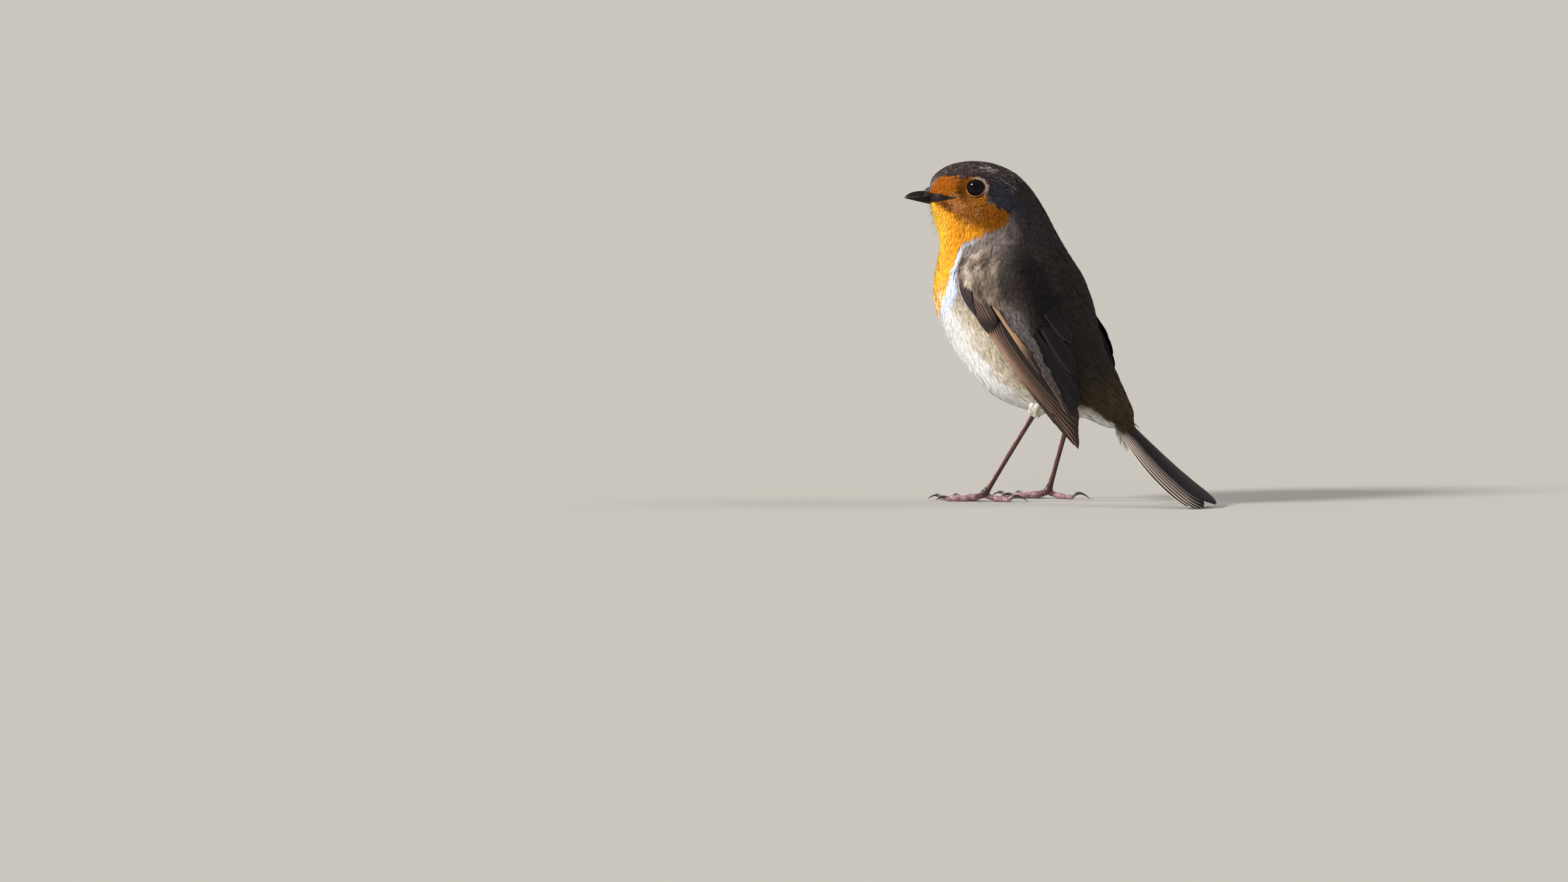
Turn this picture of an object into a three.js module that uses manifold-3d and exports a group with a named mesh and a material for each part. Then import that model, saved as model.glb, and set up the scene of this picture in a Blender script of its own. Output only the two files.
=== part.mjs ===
// A European robin standing upright, life size, in millimetres.
// +Z is up and z = 0 is the floor. The body faces -Y and its left side is +X; the head is turned to its left.
// The origin is on the floor under the middle of the bird.
// The body is one loft parted by thin cuts; wings, tail, bill, eyes, legs, toes and claws are pieces of their own.
import * as THREE from "three";
import Module from "manifold-3d";

const wasm = await Module();
wasm.setup();

// ---------- driving sizes ----------
const PLACE = [0, -15.3, 0]; // moves the finished bird so that the origin is under its middle
const GAP = 0.3; // air left between neighbouring pieces
const BODY_RINGS = 36; // loft rings from the bill base to the tail root
const BODY_SIDES = 24; // corners of one ring

// Lines of the body in its plane of symmetry, before the head is turned.
// Each row: point [y, z] on the back line, point on the front line, and the half width near back, middle, front.
const BODY_ROWS = [
  { back: [-32.2, 98.4], front: [-32.0, 93.7], width: [2.2, 2.4, 2.2] },
  { back: [-30.9, 102.3], front: [-31.3, 91.0], width: [3.9, 4.1, 4.0] },
  { back: [-27.0, 105.4], front: [-30.6, 87.8], width: [5.8, 6.4, 6.6] },
  { back: [-22.0, 106.9], front: [-29.6, 84.0], width: [8.0, 8.7, 9.7] },
  { back: [-17.0, 107.2], front: [-28.8, 80.2], width: [9.6, 10.3, 13.0] },
  { back: [-11.0, 106.2], front: [-28.9, 76.0], width: [9.8, 11.0, 15.8] },
  { back: [-5.0, 103.4], front: [-29.8, 71.5], width: [9.7, 12.4, 18.6] },
  { back: [0.0, 98.6], front: [-30.5, 67.0], width: [9.8, 14.9, 20.5] },
  { back: [4.3, 92.0], front: [-30.6, 62.5], width: [11.0, 17.8, 21.2] },
  { back: [8.3, 84.8], front: [-29.9, 58.0], width: [14.0, 20.0, 21.0] },
  { back: [13.0, 78.0], front: [-27.9, 52.8], width: [17.0, 21.0, 20.0] },
  { back: [17.6, 71.0], front: [-25.0, 47.6], width: [18.5, 21.2, 18.5] },
  { back: [20.8, 63.0], front: [-20.8, 42.0], width: [18.0, 20.5, 17.0] },
  { back: [23.2, 54.5], front: [-15.5, 36.0], width: [16.5, 18.8, 15.5] },
  { back: [26.4, 46.5], front: [-8.0, 31.2], width: [14.5, 16.2, 13.5] },
  { back: [29.8, 40.5], front: [2.0, 28.2], width: [12.0, 13.0, 11.0] },
  { back: [32.2, 36.0], front: [11.6, 27.2], width: [9.6, 10.2, 9.2] },
  { back: [33.9, 32.6], front: [20.0, 26.4], width: [7.6, 8.0, 7.4] },
  { back: [35.4, 29.6], front: [26.6, 24.0], width: [6.0, 6.2, 5.6] },
  { back: [35.8, 27.2], front: [31.0, 23.4], width: [3.6, 3.8, 3.4] },
];

// Turn of the head to its left: it grows from nothing at the shoulders to all of it at the throat.
const HEAD_TURN = THREE.MathUtils.degToRad(25);
const TURN_AXIS_Y = -7;
const TURN_FROM_Z = 77;
const TURN_TO_Z = 93;

// Planes that part the body: a point [y, z] on the back line and one on the front line.
const PARTINGS = [
  { back: [2.6, 95.0], front: [-31.0, 88.6] }, // head from neck
  { back: [10.0, 82.5], front: [-29.0, 74.0] }, // neck from breast
  { back: [21.8, 60.0], front: [-26.6, 50.0] }, // breast from belly
  { back: [29.0, 42.0], front: [4.0, 27.2] }, // belly from rump
];

const EYE = { radius: 3.75, y: -16.9, z: 98.95, x: 5.75 };

const BILL = {
  tip: [-39.9, 95.6],
  root: -29.2, // y of the hidden end, inside the face
  edge: 96.0, // height of the line where the halves meet
  topHeight: 1.72,
  topCurve: 7, // 1 is a straight ridge; more is a rounder one
  lowHeight: 2.75,
  lowCurve: 1.25,
  halfWidth: 2.3,
  crowding: 1.7, // rings lie closer together towards the blunt tip the more this is over 1
};

// Folded wing, left side: front edge, middle and back edge [x, y, z] at rows from shoulder to tip.
const WING_ROWS = [
  [[13.6, -17.6, 80.5], [14.9, -5.0, 84.0], [7.8, 6.8, 83.6]],
  [[18.0, -19.0, 74.2], [20.2, -3.4, 76.0], [10.8, 12.4, 75.6]],
  [[20.2, -17.2, 67.0], [22.2, -1.2, 66.5], [12.0, 16.8, 67.5]],
  [[21.2, -10.6, 57.6], [23.0, 4.2, 55.5], [12.8, 21.6, 56.5]],
  [[21.9, -1.2, 46.6], [22.0, 10.8, 43.8], [13.4, 25.2, 46.0]],
  [[20.4, 6.2, 36.9], [20.0, 15.4, 34.6], [14.0, 26.6, 37.4]],
  [[17.6, 14.6, 26.6], [17.4, 19.6, 25.4], [14.6, 26.2, 28.8]],
  [[14.6, 23.0, 16.6], [14.4, 23.8, 17.0], [14.2, 24.6, 17.8]],
];
const RIGHT_TIP_SHIFT = [-2.0, 2.2, 6.0]; // the right wing is folded a little higher and closer
const WING_THICKNESS = 3.0;
const WING_TIP_THICKNESS = 0.8;
const COVERT_END = 0.5; // share of the wing length under the coverts
const PRIMARY_SHARE = 0.5; // share of the wing breadth taken by the long outer feathers
const INNER_END = 0.88; // the inner feathers stop short of the tip

const TAIL = {
  root: [29.4, 31.6],
  length: 49.0,
  startDip: THREE.MathUtils.degToRad(50),
  endDip: THREE.MathUtils.degToRad(28),
  swing: THREE.MathUtils.degToRad(13), // the tail points a little to the left
  roll: THREE.MathUtils.degToRad(8), // and its left edge is the lower one
  halfWidth: [4.2, 6.8, 7.8],
  thickness: [2.6, 1.8, 0.9],
  roof: 1.3, // the edges hang below the middle
  notch: 3.0,
  corner: 5.0,
};

// Legs: the heel, where the shank leaves the plumage, and the joint of the toes, [x, y, z].
const LEGS = [
  {
    side: "left",
    sign: 1,
    thigh: [8.2, 8.6, 33.0],
    heel: [8.8, 4.8, 26.8],
    joint: [10.0, -10.7, 2.3],
    heading: 0,
  },
  {
    side: "right",
    sign: -1,
    thigh: [-8.4, 11.6, 33.0],
    heel: [-9.0, 10.0, 26.2],
    joint: [-10.0, 2.4, 2.3],
    heading: -4,
  },
];
const SHANK_RADIUS = 0.82;
// Toes of a left foot: outward angle in degrees from straight ahead, length from the joint, claw length.
const TOES = [
  { name: "inner", angle: -21, length: 11.6, claw: 3.9 },
  { name: "middle", angle: 2, length: 15.2, claw: 4.4 },
  { name: "outer", angle: 24, length: 12.0, claw: 3.7 },
  { name: "hind", angle: 184, length: 8.4, claw: 6.6 },
];
const TOE_ROOT = 4.6; // the toes leave the foot this far from the joint
const HIND_TOE_ROOT = 2.6;
const TOE_RADIUS = [1.02, 0.84]; // at the root and at the end
const TOE_HEIGHT = 0.72; // of the toe's middle line above the floor
const CLAW_RADIUS = 0.55;

const COLOURS = {
  plumage: 0x6b6250,
  breast: 0xd0701c,
  belly: 0xd8d2c4,
  feather: 0x4a4038,
  horn: 0x2a2226,
  eye: 0x0c0a0a,
  leg: 0x8a5a4a,
  claw: 0x3c3a40,
};

// ---------- helpers ----------
const part = new THREE.Group();
part.name = "robin";

// Value of a list at a share t of its length, along a smooth curve through its entries.
function smoothAt(values, t) {
  const last = values.length - 1;
  const place = THREE.MathUtils.clamp(t, 0, 1) * last;
  const i = Math.min(Math.floor(place), last - 1);
  const f = place - i;
  const p0 = values[Math.max(i - 1, 0)];
  const p1 = values[i];
  const p2 = values[i + 1];
  const p3 = values[Math.min(i + 2, last)];
  const curve =
    2 * p1 +
    (p2 - p0) * f +
    (2 * p0 - 5 * p1 + 4 * p2 - p3) * f * f +
    (3 * p1 - p0 - 3 * p2 + p3) * f * f * f;
  return curve / 2;
}

function vectorAt(points, t) {
  return new THREE.Vector3(
    smoothAt(points.map((p) => p[0]), t),
    smoothAt(points.map((p) => p[1]), t),
    smoothAt(points.map((p) => p[2]), t),
  );
}

// A closed solid from a list of corners and of triangles.
function solidFrom(corners, triangles) {
  const flat = new Float32Array(corners.length * 3);
  corners.forEach((p, i) => p.toArray(flat, i * 3));
  let solid = new wasm.Manifold(
    new wasm.Mesh({
      numProp: 3,
      vertProperties: flat,
      triVerts: new Uint32Array(triangles.flat()),
    }),
  );
  if (solid.volume() < 0) {
    const turned = triangles.map(([a, b, c]) => [a, c, b]);
    solid = new wasm.Manifold(
      new wasm.Mesh({
        numProp: 3,
        vertProperties: flat,
        triVerts: new Uint32Array(turned.flat()),
      }),
    );
  }
  return solid;
}

// Rings of equal count joined into a closed skin, with a fan over each end.
function loft(rings) {
  const sides = rings[0].length;
  const corners = rings.flat();
  const triangles = [];
  for (let r = 0; r < rings.length - 1; r++) {
    for (let s = 0; s < sides; s++) {
      const a = r * sides + s;
      const b = r * sides + ((s + 1) % sides);
      triangles.push([a, b, a + sides]);
      triangles.push([b, b + sides, a + sides]);
    }
  }
  const centre = (ring) =>
    ring.reduce((sum, p) => sum.add(p), new THREE.Vector3()).divideScalar(sides);
  const first = corners.push(centre(rings[0])) - 1;
  const last = corners.push(centre(rings[rings.length - 1])) - 1;
  const offset = (rings.length - 1) * sides;
  for (let s = 0; s < sides; s++) {
    const next = (s + 1) % sides;
    triangles.push([first, next, s]);
    triangles.push([last, offset + s, offset + next]);
  }
  return solidFrom(corners, triangles);
}

// A round rod along a list of points, with one radius for each point.
function rod(points, radii, sides = 8) {
  const rings = points.map((p, i) => {
    const before = points[Math.max(i - 1, 0)];
    const after = points[Math.min(i + 1, points.length - 1)];
    const along = after.clone().sub(before).normalize();
    const level = Math.abs(along.z) > 0.9 ? new THREE.Vector3(1, 0, 0) : new THREE.Vector3(0, 0, 1);
    const side = new THREE.Vector3().crossVectors(along, level).normalize();
    const up = new THREE.Vector3().crossVectors(side, along).normalize();
    const ring = [];
    for (let s = 0; s < sides; s++) {
      const angle = (2 * Math.PI * s) / sides;
      ring.push(
        p
          .clone()
          .addScaledVector(side, radii[i] * Math.cos(angle))
          .addScaledVector(up, radii[i] * Math.sin(angle)),
      );
    }
    return ring;
  });
  return loft(rings);
}

// A closed slab between two sheets of corners, each sheet a list of equal rows.
function slab(top, bottom) {
  const rows = top.length;
  const columns = top[0].length;
  const corners = [...top.flat(), ...bottom.flat()];
  const under = rows * columns;
  const triangles = [];
  for (let r = 0; r < rows - 1; r++) {
    for (let c = 0; c < columns - 1; c++) {
      const a = r * columns + c;
      const b = a + 1;
      const d = a + columns;
      const e = d + 1;
      triangles.push([a, d, b], [b, d, e]);
      triangles.push([under + a, under + b, under + d], [under + b, under + e, under + d]);
    }
  }
  const wall = (a, b) => triangles.push([a, b, under + a], [b, under + b, under + a]);
  for (let c = 0; c < columns - 1; c++) {
    wall(c, c + 1);
    wall((rows - 1) * columns + c + 1, (rows - 1) * columns + c);
  }
  for (let r = 0; r < rows - 1; r++) {
    wall((r + 1) * columns, r * columns);
    wall(r * columns + columns - 1, (r + 1) * columns + columns - 1);
  }
  return solidFrom(corners, triangles);
}

// The largest single body of a solid that a cut may have split.
function largest(solid) {
  return solid.decompose().reduce((best, one) => (one.volume() > best.volume() ? one : best));
}

// The side of a plane through the back and front points that lies away from the head (or towards it).
function partedBy(solid, parting, towardsHead) {
  const [backY, backZ] = parting.back;
  const [frontY, frontZ] = parting.front;
  const normal = new THREE.Vector3(0, -(backZ - frontZ), backY - frontY).normalize();
  const level = normal.y * backY + normal.z * backZ;
  if (towardsHead) return solid.trimByPlane(normal.toArray(), level + GAP / 2);
  return solid.trimByPlane(normal.clone().negate().toArray(), -level + GAP / 2);
}

function aboveFloor(solid) {
  return solid.trimByPlane([0, 0, 1], 0);
}

function addNode(name, solid, colour) {
  const mesh = solid.translate(PLACE).getMesh();
  const corners = new Float32Array(mesh.numVert * 3);
  for (let i = 0; i < mesh.numVert; i++) {
    corners.set(mesh.vertProperties.subarray(i * mesh.numProp, i * mesh.numProp + 3), i * 3);
  }
  const geometry = new THREE.BufferGeometry()
    .setAttribute("position", new THREE.BufferAttribute(corners, 3))
    .setIndex(new THREE.BufferAttribute(mesh.triVerts, 1));
  geometry.computeVertexNormals();
  const node = new THREE.Mesh(geometry, new THREE.MeshStandardMaterial({ color: colour }));
  node.name = name;
  part.add(node);
}

// ---------- body ----------
// The turn of the head, as a twist about a vertical axis that depends on height alone.
function turned(point) {
  const share = THREE.MathUtils.smoothstep(point.z, TURN_FROM_Z, TURN_TO_Z);
  const angle = HEAD_TURN * share;
  const y = point.y - TURN_AXIS_Y;
  return new THREE.Vector3(
    point.x * Math.cos(angle) - y * Math.sin(angle),
    point.x * Math.sin(angle) + y * Math.cos(angle) + TURN_AXIS_Y,
    point.z,
  );
}

// Point of the body's surface: t runs from bill base to tail root, phi from the back line round the left side.
function bodyPoint(t, phi) {
  const backY = smoothAt(BODY_ROWS.map((r) => r.back[0]), t);
  const backZ = smoothAt(BODY_ROWS.map((r) => r.back[1]), t);
  const frontY = smoothAt(BODY_ROWS.map((r) => r.front[0]), t);
  const frontZ = smoothAt(BODY_ROWS.map((r) => r.front[1]), t);
  const [nearBack, middle, nearFront] = [0, 1, 2].map((k) => smoothAt(BODY_ROWS.map((r) => r.width[k]), t));
  const s = -Math.cos(phi);
  const halfWidth =
    middle + ((nearFront - nearBack) / 2) * s + ((nearFront + nearBack) / 2 - middle) * s * s;
  return turned(
    new THREE.Vector3(
      halfWidth * Math.sin(phi),
      THREE.MathUtils.lerp(backY, frontY, (1 + s) / 2),
      THREE.MathUtils.lerp(backZ, frontZ, (1 + s) / 2),
    ),
  );
}

function bodySolid(growth) {
  const rings = [];
  for (let r = 0; r < BODY_RINGS; r++) {
    const t = r / (BODY_RINGS - 1);
    const ring = [];
    for (let s = 0; s < BODY_SIDES; s++) {
      const phi = (2 * Math.PI * s) / BODY_SIDES;
      const point = bodyPoint(t, phi);
      const step = 0.004;
      const alongBody = bodyPoint(Math.min(t + step, 1), phi).sub(bodyPoint(Math.max(t - step, 0), phi));
      const aroundBody = bodyPoint(t, phi + 0.02).sub(bodyPoint(t, phi - 0.02));
      const normal = new THREE.Vector3().crossVectors(aroundBody, alongBody).normalize();
      ring.push(point.addScaledVector(normal, growth));
    }
    rings.push(ring);
  }
  return loft(rings);
}

// ---------- bill ----------
// Half of the bill: side is +1 for the upper half and -1 for the lower one.
function billHalf(side, growth) {
  const stations = 8;
  const sides = 9;
  const rings = [];
  for (let i = 0; i < stations; i++) {
    const share = 1 - Math.pow(1 - i / (stations - 1), BILL.crowding);
    const y = THREE.MathUtils.lerp(BILL.root, BILL.tip[0], share);
    const fullness = 1 - 0.95 * Math.pow(share, side > 0 ? BILL.topCurve : BILL.lowCurve);
    const height = (side > 0 ? BILL.topHeight : BILL.lowHeight) * fullness + growth;
    const halfWidth = BILL.halfWidth * Math.pow(1 - share * 0.985, 0.9) + 0.16 + growth;
    const meeting = THREE.MathUtils.lerp(BILL.edge, BILL.tip[1], share * share) + side * (GAP / 2 - growth);
    const ring = [];
    for (let s = 0; s < sides; s++) {
      const angle = (Math.PI * s) / (sides - 1);
      const x = halfWidth * Math.cos(angle);
      ring.push(turned(new THREE.Vector3(x, y - growth * share, meeting + side * height * Math.sin(angle))));
    }
    rings.push(ring);
  }
  return loft(rings);
}

// ---------- eyes ----------
function eyeSolid(sign, growth) {
  const ball = new THREE.SphereGeometry(EYE.radius + growth, 14, 10);
  const place = turned(new THREE.Vector3(sign * EYE.x, EYE.y, EYE.z));
  ball.translate(place.x, place.y, place.z);
  const corners = [];
  const position = ball.getAttribute("position");
  const known = new Map();
  const numberOf = [];
  for (let i = 0; i < position.count; i++) {
    const point = new THREE.Vector3().fromBufferAttribute(position, i);
    const key = point.toArray().map((v) => v.toFixed(4)).join();
    if (!known.has(key)) known.set(key, corners.push(point) - 1);
    numberOf.push(known.get(key));
  }
  const triangles = [];
  for (let i = 0; i < ball.index.count; i += 3) {
    const corner = [0, 1, 2].map((k) => numberOf[ball.index.getX(i + k)]);
    if (new Set(corner).size === 3) triangles.push(corner);
  }
  return solidFrom(corners, triangles);
}

// ---------- wings ----------
// Point of a folded wing's outer face: along runs from shoulder to tip, across from front edge to back edge.
function wingPoint(sign, along, across) {
  const [front, middle, back] = [0, 1, 2].map((k) => vectorAt(WING_ROWS.map((row) => row[k]), along));
  const point = front
    .multiplyScalar((1 - across) * (1 - 2 * across))
    .addScaledVector(middle, 4 * across * (1 - across))
    .addScaledVector(back, across * (2 * across - 1));
  if (sign < 0) {
    const share = THREE.MathUtils.smoothstep(along, 0.5, 1);
    point.add(new THREE.Vector3(...RIGHT_TIP_SHIFT).multiplyScalar(share));
  }
  point.x *= sign;
  return point;
}

function wingNormal(sign, along, across) {
  const step = 0.01;
  const a = wingPoint(sign, Math.min(along + step, 1), across).sub(wingPoint(sign, Math.max(along - step, 0), across));
  const b = wingPoint(sign, along, Math.min(across + step, 1)).sub(wingPoint(sign, along, Math.max(across - step, 0)));
  const normal = new THREE.Vector3().crossVectors(a, b).normalize();
  return normal.x * sign < 0 ? normal.negate() : normal;
}

// A stretch of the wing as a slab; tipEnd says how far each strand across the slab reaches along the wing.
function wingSlab(sign, from, tipEnd, acrossFrom, acrossTo, rows, columns) {
  const outer = [];
  const inner = [];
  for (let r = 0; r < rows; r++) {
    const outerRow = [];
    const innerRow = [];
    for (let c = 0; c < columns; c++) {
      const across = THREE.MathUtils.lerp(acrossFrom, acrossTo, c / (columns - 1));
      const along = THREE.MathUtils.lerp(from, tipEnd(across), r / (rows - 1));
      const point = wingPoint(sign, along, across);
      const normal = wingNormal(sign, along, across);
      const thick = THREE.MathUtils.lerp(WING_THICKNESS, WING_TIP_THICKNESS, THREE.MathUtils.smoothstep(along, 0.4, 0.95));
      const edge = 0.55 + 0.45 * Math.sin(Math.PI * across);
      outerRow.push(point);
      innerRow.push(point.clone().addScaledVector(normal, -Math.max(thick * edge, WING_TIP_THICKNESS)));
    }
    outer.push(outerRow);
    inner.push(innerRow);
  }
  return slab(outer, inner);
}

// ---------- tail ----------
// Point of the tail: s millimetres from the root, q from the left edge (1) to the right edge (-1);
// face is 0 on top and 1 below, and growth pushes both faces and the edges outwards.
function tailPoint(s, q, face, growth) {
  const bend = (TAIL.endDip - TAIL.startDip) / TAIL.length;
  const dip = TAIL.startDip + bend * s;
  const back = (Math.sin(dip) - Math.sin(TAIL.startDip)) / bend;
  const down = (Math.cos(TAIL.startDip) - Math.cos(dip)) / bend;
  const share = THREE.MathUtils.clamp(s / TAIL.length, 0, 1);
  const halfWidth = smoothAt(TAIL.halfWidth, share) + growth;
  const thickness = smoothAt(TAIL.thickness, share) * (1 - 0.45 * q * q);
  const drop = TAIL.roof * (1 - 0.5 * share) * q * q + face * thickness + (face * 2 - 1) * growth;
  const roll = TAIL.roll * THREE.MathUtils.smoothstep(share, 0, 0.4);
  const aside = q * halfWidth * Math.cos(roll) - drop * Math.sin(roll);
  const under = drop * Math.cos(roll) + q * halfWidth * Math.sin(roll);
  const swing = TAIL.swing * THREE.MathUtils.smoothstep(share, 0, 0.3);
  const behind = back - under * Math.sin(dip);
  return new THREE.Vector3(
    aside * Math.cos(swing) + behind * Math.sin(swing),
    TAIL.root[0] + behind * Math.cos(swing) - aside * Math.sin(swing),
    TAIL.root[1] - down - under * Math.cos(dip),
  );
}

// The tail between two shares of its breadth, from a start to the ends of its feathers.
function tailSlab(start, fromQ, toQ, columns, growth) {
  const rows = 10;
  const middle = 0.34;
  const sheets = [0, 1].map((face) => {
    const sheet = [];
    for (let r = 0; r < rows; r++) {
      const row = [];
      for (let c = 0; c < columns; c++) {
        const q = THREE.MathUtils.lerp(fromQ, toQ, c / (columns - 1));
        const nearMiddle = Math.max(0, 1 - Math.abs(q) / middle);
        const nearCorner = Math.max(0, (Math.abs(q) - middle) / (1 - middle));
        const end = TAIL.length - TAIL.notch * nearMiddle - TAIL.corner * nearCorner * nearCorner;
        row.push(tailPoint(THREE.MathUtils.lerp(start, end, r / (rows - 1)), q, face, growth));
      }
      sheet.push(row);
    }
    return sheet;
  });
  return slab(sheets[0], sheets[1]);
}

// ---------- legs ----------
// Direction on the floor of a toe, for an outward angle in degrees.
function toeDirection(leg, angle) {
  const outward = THREE.MathUtils.degToRad(angle + leg.heading);
  return new THREE.Vector3(leg.sign * Math.sin(outward), -Math.cos(outward), 0);
}

function toePoint(leg, toe, distance) {
  const joint = new THREE.Vector3(...leg.joint);
  const share = THREE.MathUtils.clamp(distance / toe.length, 0, 1);
  const point = joint.clone().addScaledVector(toeDirection(leg, toe.angle), distance);
  const fall = Math.pow(1 - share, 3);
  point.z = TOE_HEIGHT + (joint.z - TOE_HEIGHT) * fall;
  return point;
}

function toeRod(leg, toe, from, to, steps) {
  const points = [];
  const radii = [];
  for (let i = 0; i <= steps; i++) {
    const distance = THREE.MathUtils.lerp(from, to, i / steps);
    points.push(toePoint(leg, toe, distance));
    radii.push(THREE.MathUtils.lerp(TOE_RADIUS[0], TOE_RADIUS[1], distance / toe.length));
  }
  return aboveFloor(rod(points, radii, 7));
}

// A claw: it rises a little from the toe's end, arches over and comes down to just above the floor.
function clawRod(leg, toe) {
  const ahead = toeDirection(leg, toe.angle);
  const start = toePoint(leg, toe, toe.length + GAP);
  const steps = 5;
  const lowest = 0.45;
  const points = [];
  const radii = [];
  for (let i = 0; i <= steps; i++) {
    const share = i / steps;
    const point = start.clone().addScaledVector(ahead, toe.claw * 0.88 * share);
    point.z = THREE.MathUtils.lerp(start.z + 0.1, lowest, share * share) + toe.claw * 0.3 * Math.sin(Math.PI * share);
    points.push(point);
    radii.push(THREE.MathUtils.lerp(CLAW_RADIUS, 0.26, share));
  }
  return rod(points, radii, 6);
}

function shankRod(leg, growth) {
  const joint = new THREE.Vector3(...leg.joint);
  const heel = new THREE.Vector3(...leg.heel);
  const points = [];
  const radii = [];
  const steps = 5;
  for (let i = 0; i <= steps; i++) {
    const share = i / steps;
    points.push(heel.clone().lerp(joint, share));
    const ends = Math.pow(Math.abs(share - 0.45) / 0.55, 3);
    radii.push(SHANK_RADIUS * (1 + 0.28 * ends) + growth);
  }
  return rod(points, radii);
}

function thighRod(leg, growth) {
  const top = new THREE.Vector3(...leg.thigh);
  const heel = new THREE.Vector3(...leg.heel);
  const points = [0, 0.3, 0.6, 0.85, 1.1].map((share) => top.clone().lerp(heel, share));
  const radii = [3.6, 3.5, 2.9, 2.2, 1.5].map((r) => r + growth);
  return rod(points, radii, 10);
}

// The ball of the foot with the roots of its toes, and a collar at the foot of the shank.
function footSolid(leg, growth) {
  const joint = new THREE.Vector3(...leg.joint);
  const heel = new THREE.Vector3(...leg.heel);
  const away = heel.clone().sub(joint).normalize();
  const collar = rod(
    [joint.clone().addScaledVector(away, -0.5), joint.clone(), joint.clone().addScaledVector(away, 1.6)],
    [0.9 + growth, 1.35 + growth, 1.0 + growth],
  );
  const joined = TOES.reduce((foot, toe) => {
    const reach = toe.name === "hind" ? HIND_TOE_ROOT : TOE_ROOT;
    return foot.add(toeRod(leg, toe, 0.2, reach, 2));
  }, collar);
  return largest(joined);
}

// ---------- assembly ----------
const body = bodySolid(0);
const bodyGrown = bodySolid(GAP);

const billUpper = billHalf(1, 0);
const billLower = billHalf(-1, 0);
const sockets = billHalf(1, GAP)
  .add(billHalf(-1, GAP))
  .add(eyeSolid(1, GAP))
  .add(eyeSolid(-1, GAP));

const [headCut, neckCut, breastCut, rumpCut] = PARTINGS;
const legHoles = LEGS.map((leg) => thighRod(leg, GAP).add(shankRod(leg, GAP)));
const tailHole = tailSlab(-GAP, -1, 1, 13, GAP);

addNode("head", largest(partedBy(body, headCut, true).subtract(sockets)), COLOURS.plumage);
addNode("neck", partedBy(partedBy(body, headCut, false), neckCut, true), COLOURS.breast);
addNode("breast", partedBy(partedBy(body, neckCut, false), breastCut, true), COLOURS.breast);
const belly = legHoles.reduce(
  (solid, hole) => solid.subtract(hole),
  partedBy(partedBy(body, breastCut, false), rumpCut, true),
);
addNode("belly", largest(belly), COLOURS.belly);
const rump = legHoles.reduce(
  (solid, hole) => solid.subtract(hole),
  partedBy(body, rumpCut, false).subtract(tailHole),
);
addNode("rump", largest(rump), COLOURS.plumage);

addNode("bill_upper", billUpper, COLOURS.horn);
addNode("bill_lower", billLower, COLOURS.horn);
addNode("eye_left", eyeSolid(1, 0), COLOURS.eye);
addNode("eye_right", eyeSolid(-1, 0), COLOURS.eye);

for (const [side, sign] of [
  ["left", 1],
  ["right", -1],
]) {
  const gapAlong = 0.006;
  const gapAcross = 0.012;
  const coverts = wingSlab(sign, 0.02, () => COVERT_END, 0, 1, 10, 9);
  const primaries = wingSlab(sign, COVERT_END + gapAlong, () => 1, 0, PRIMARY_SHARE, 10, 5);
  const innerEnd = (across) => THREE.MathUtils.lerp(0.97, INNER_END, (across - PRIMARY_SHARE) / (1 - PRIMARY_SHARE));
  const secondaries = wingSlab(
    sign,
    COVERT_END + gapAlong,
    innerEnd,
    PRIMARY_SHARE + gapAcross,
    1,
    9,
    5,
  );
  addNode("wing_coverts_" + side, largest(coverts.subtract(bodyGrown)), COLOURS.plumage);
  addNode("wing_primaries_" + side, largest(primaries.subtract(bodyGrown)), COLOURS.feather);
  addNode("wing_secondaries_" + side, largest(secondaries.subtract(bodyGrown)), COLOURS.feather);
  addNode("tail_" + side, aboveFloor(tailSlab(0, sign * 0.03, sign, 6, 0)), COLOURS.feather);
}

for (const leg of LEGS) {
  const foot = footSolid(leg, 0);
  const footGrown = footSolid(leg, GAP);
  const shank = shankRod(leg, 0).subtract(footGrown);
  const thigh = thighRod(leg, 0).subtract(shankRod(leg, GAP));
  addNode("thigh_" + leg.side, largest(thigh), COLOURS.belly);
  addNode("shank_" + leg.side, largest(shank), COLOURS.leg);
  addNode("foot_" + leg.side, foot, COLOURS.leg);
  for (const toe of TOES) {
    const root = (toe.name === "hind" ? HIND_TOE_ROOT : TOE_ROOT) + GAP;
    addNode("toe_" + toe.name + "_" + leg.side, toeRod(leg, toe, root, toe.length, 6), COLOURS.leg);
    addNode("claw_" + toe.name + "_" + leg.side, clawRod(leg, toe), COLOURS.claw);
  }
}

export default part;
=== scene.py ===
"""A European robin at rest, life size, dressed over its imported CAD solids.

Sizes are in millimetres in the bird's own drawing frame until a mesh is made; new_mesh moves them to the
part's frame and turns them into metres. The body is a loft: t runs from the base of the bill (0) to the root
of the tail (1), and phi runs round it from the middle of the back (0) over the left side to the middle of
the breast (180 degrees). A folded wing is a sheet: along runs from the shoulder (0) to the tip (1), and
across runs from the lower front edge (0) to the upper back edge (1).
"""
import math
from functools import partial

import bpy
import numpy as np
from mathutils import Matrix, Vector


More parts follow.
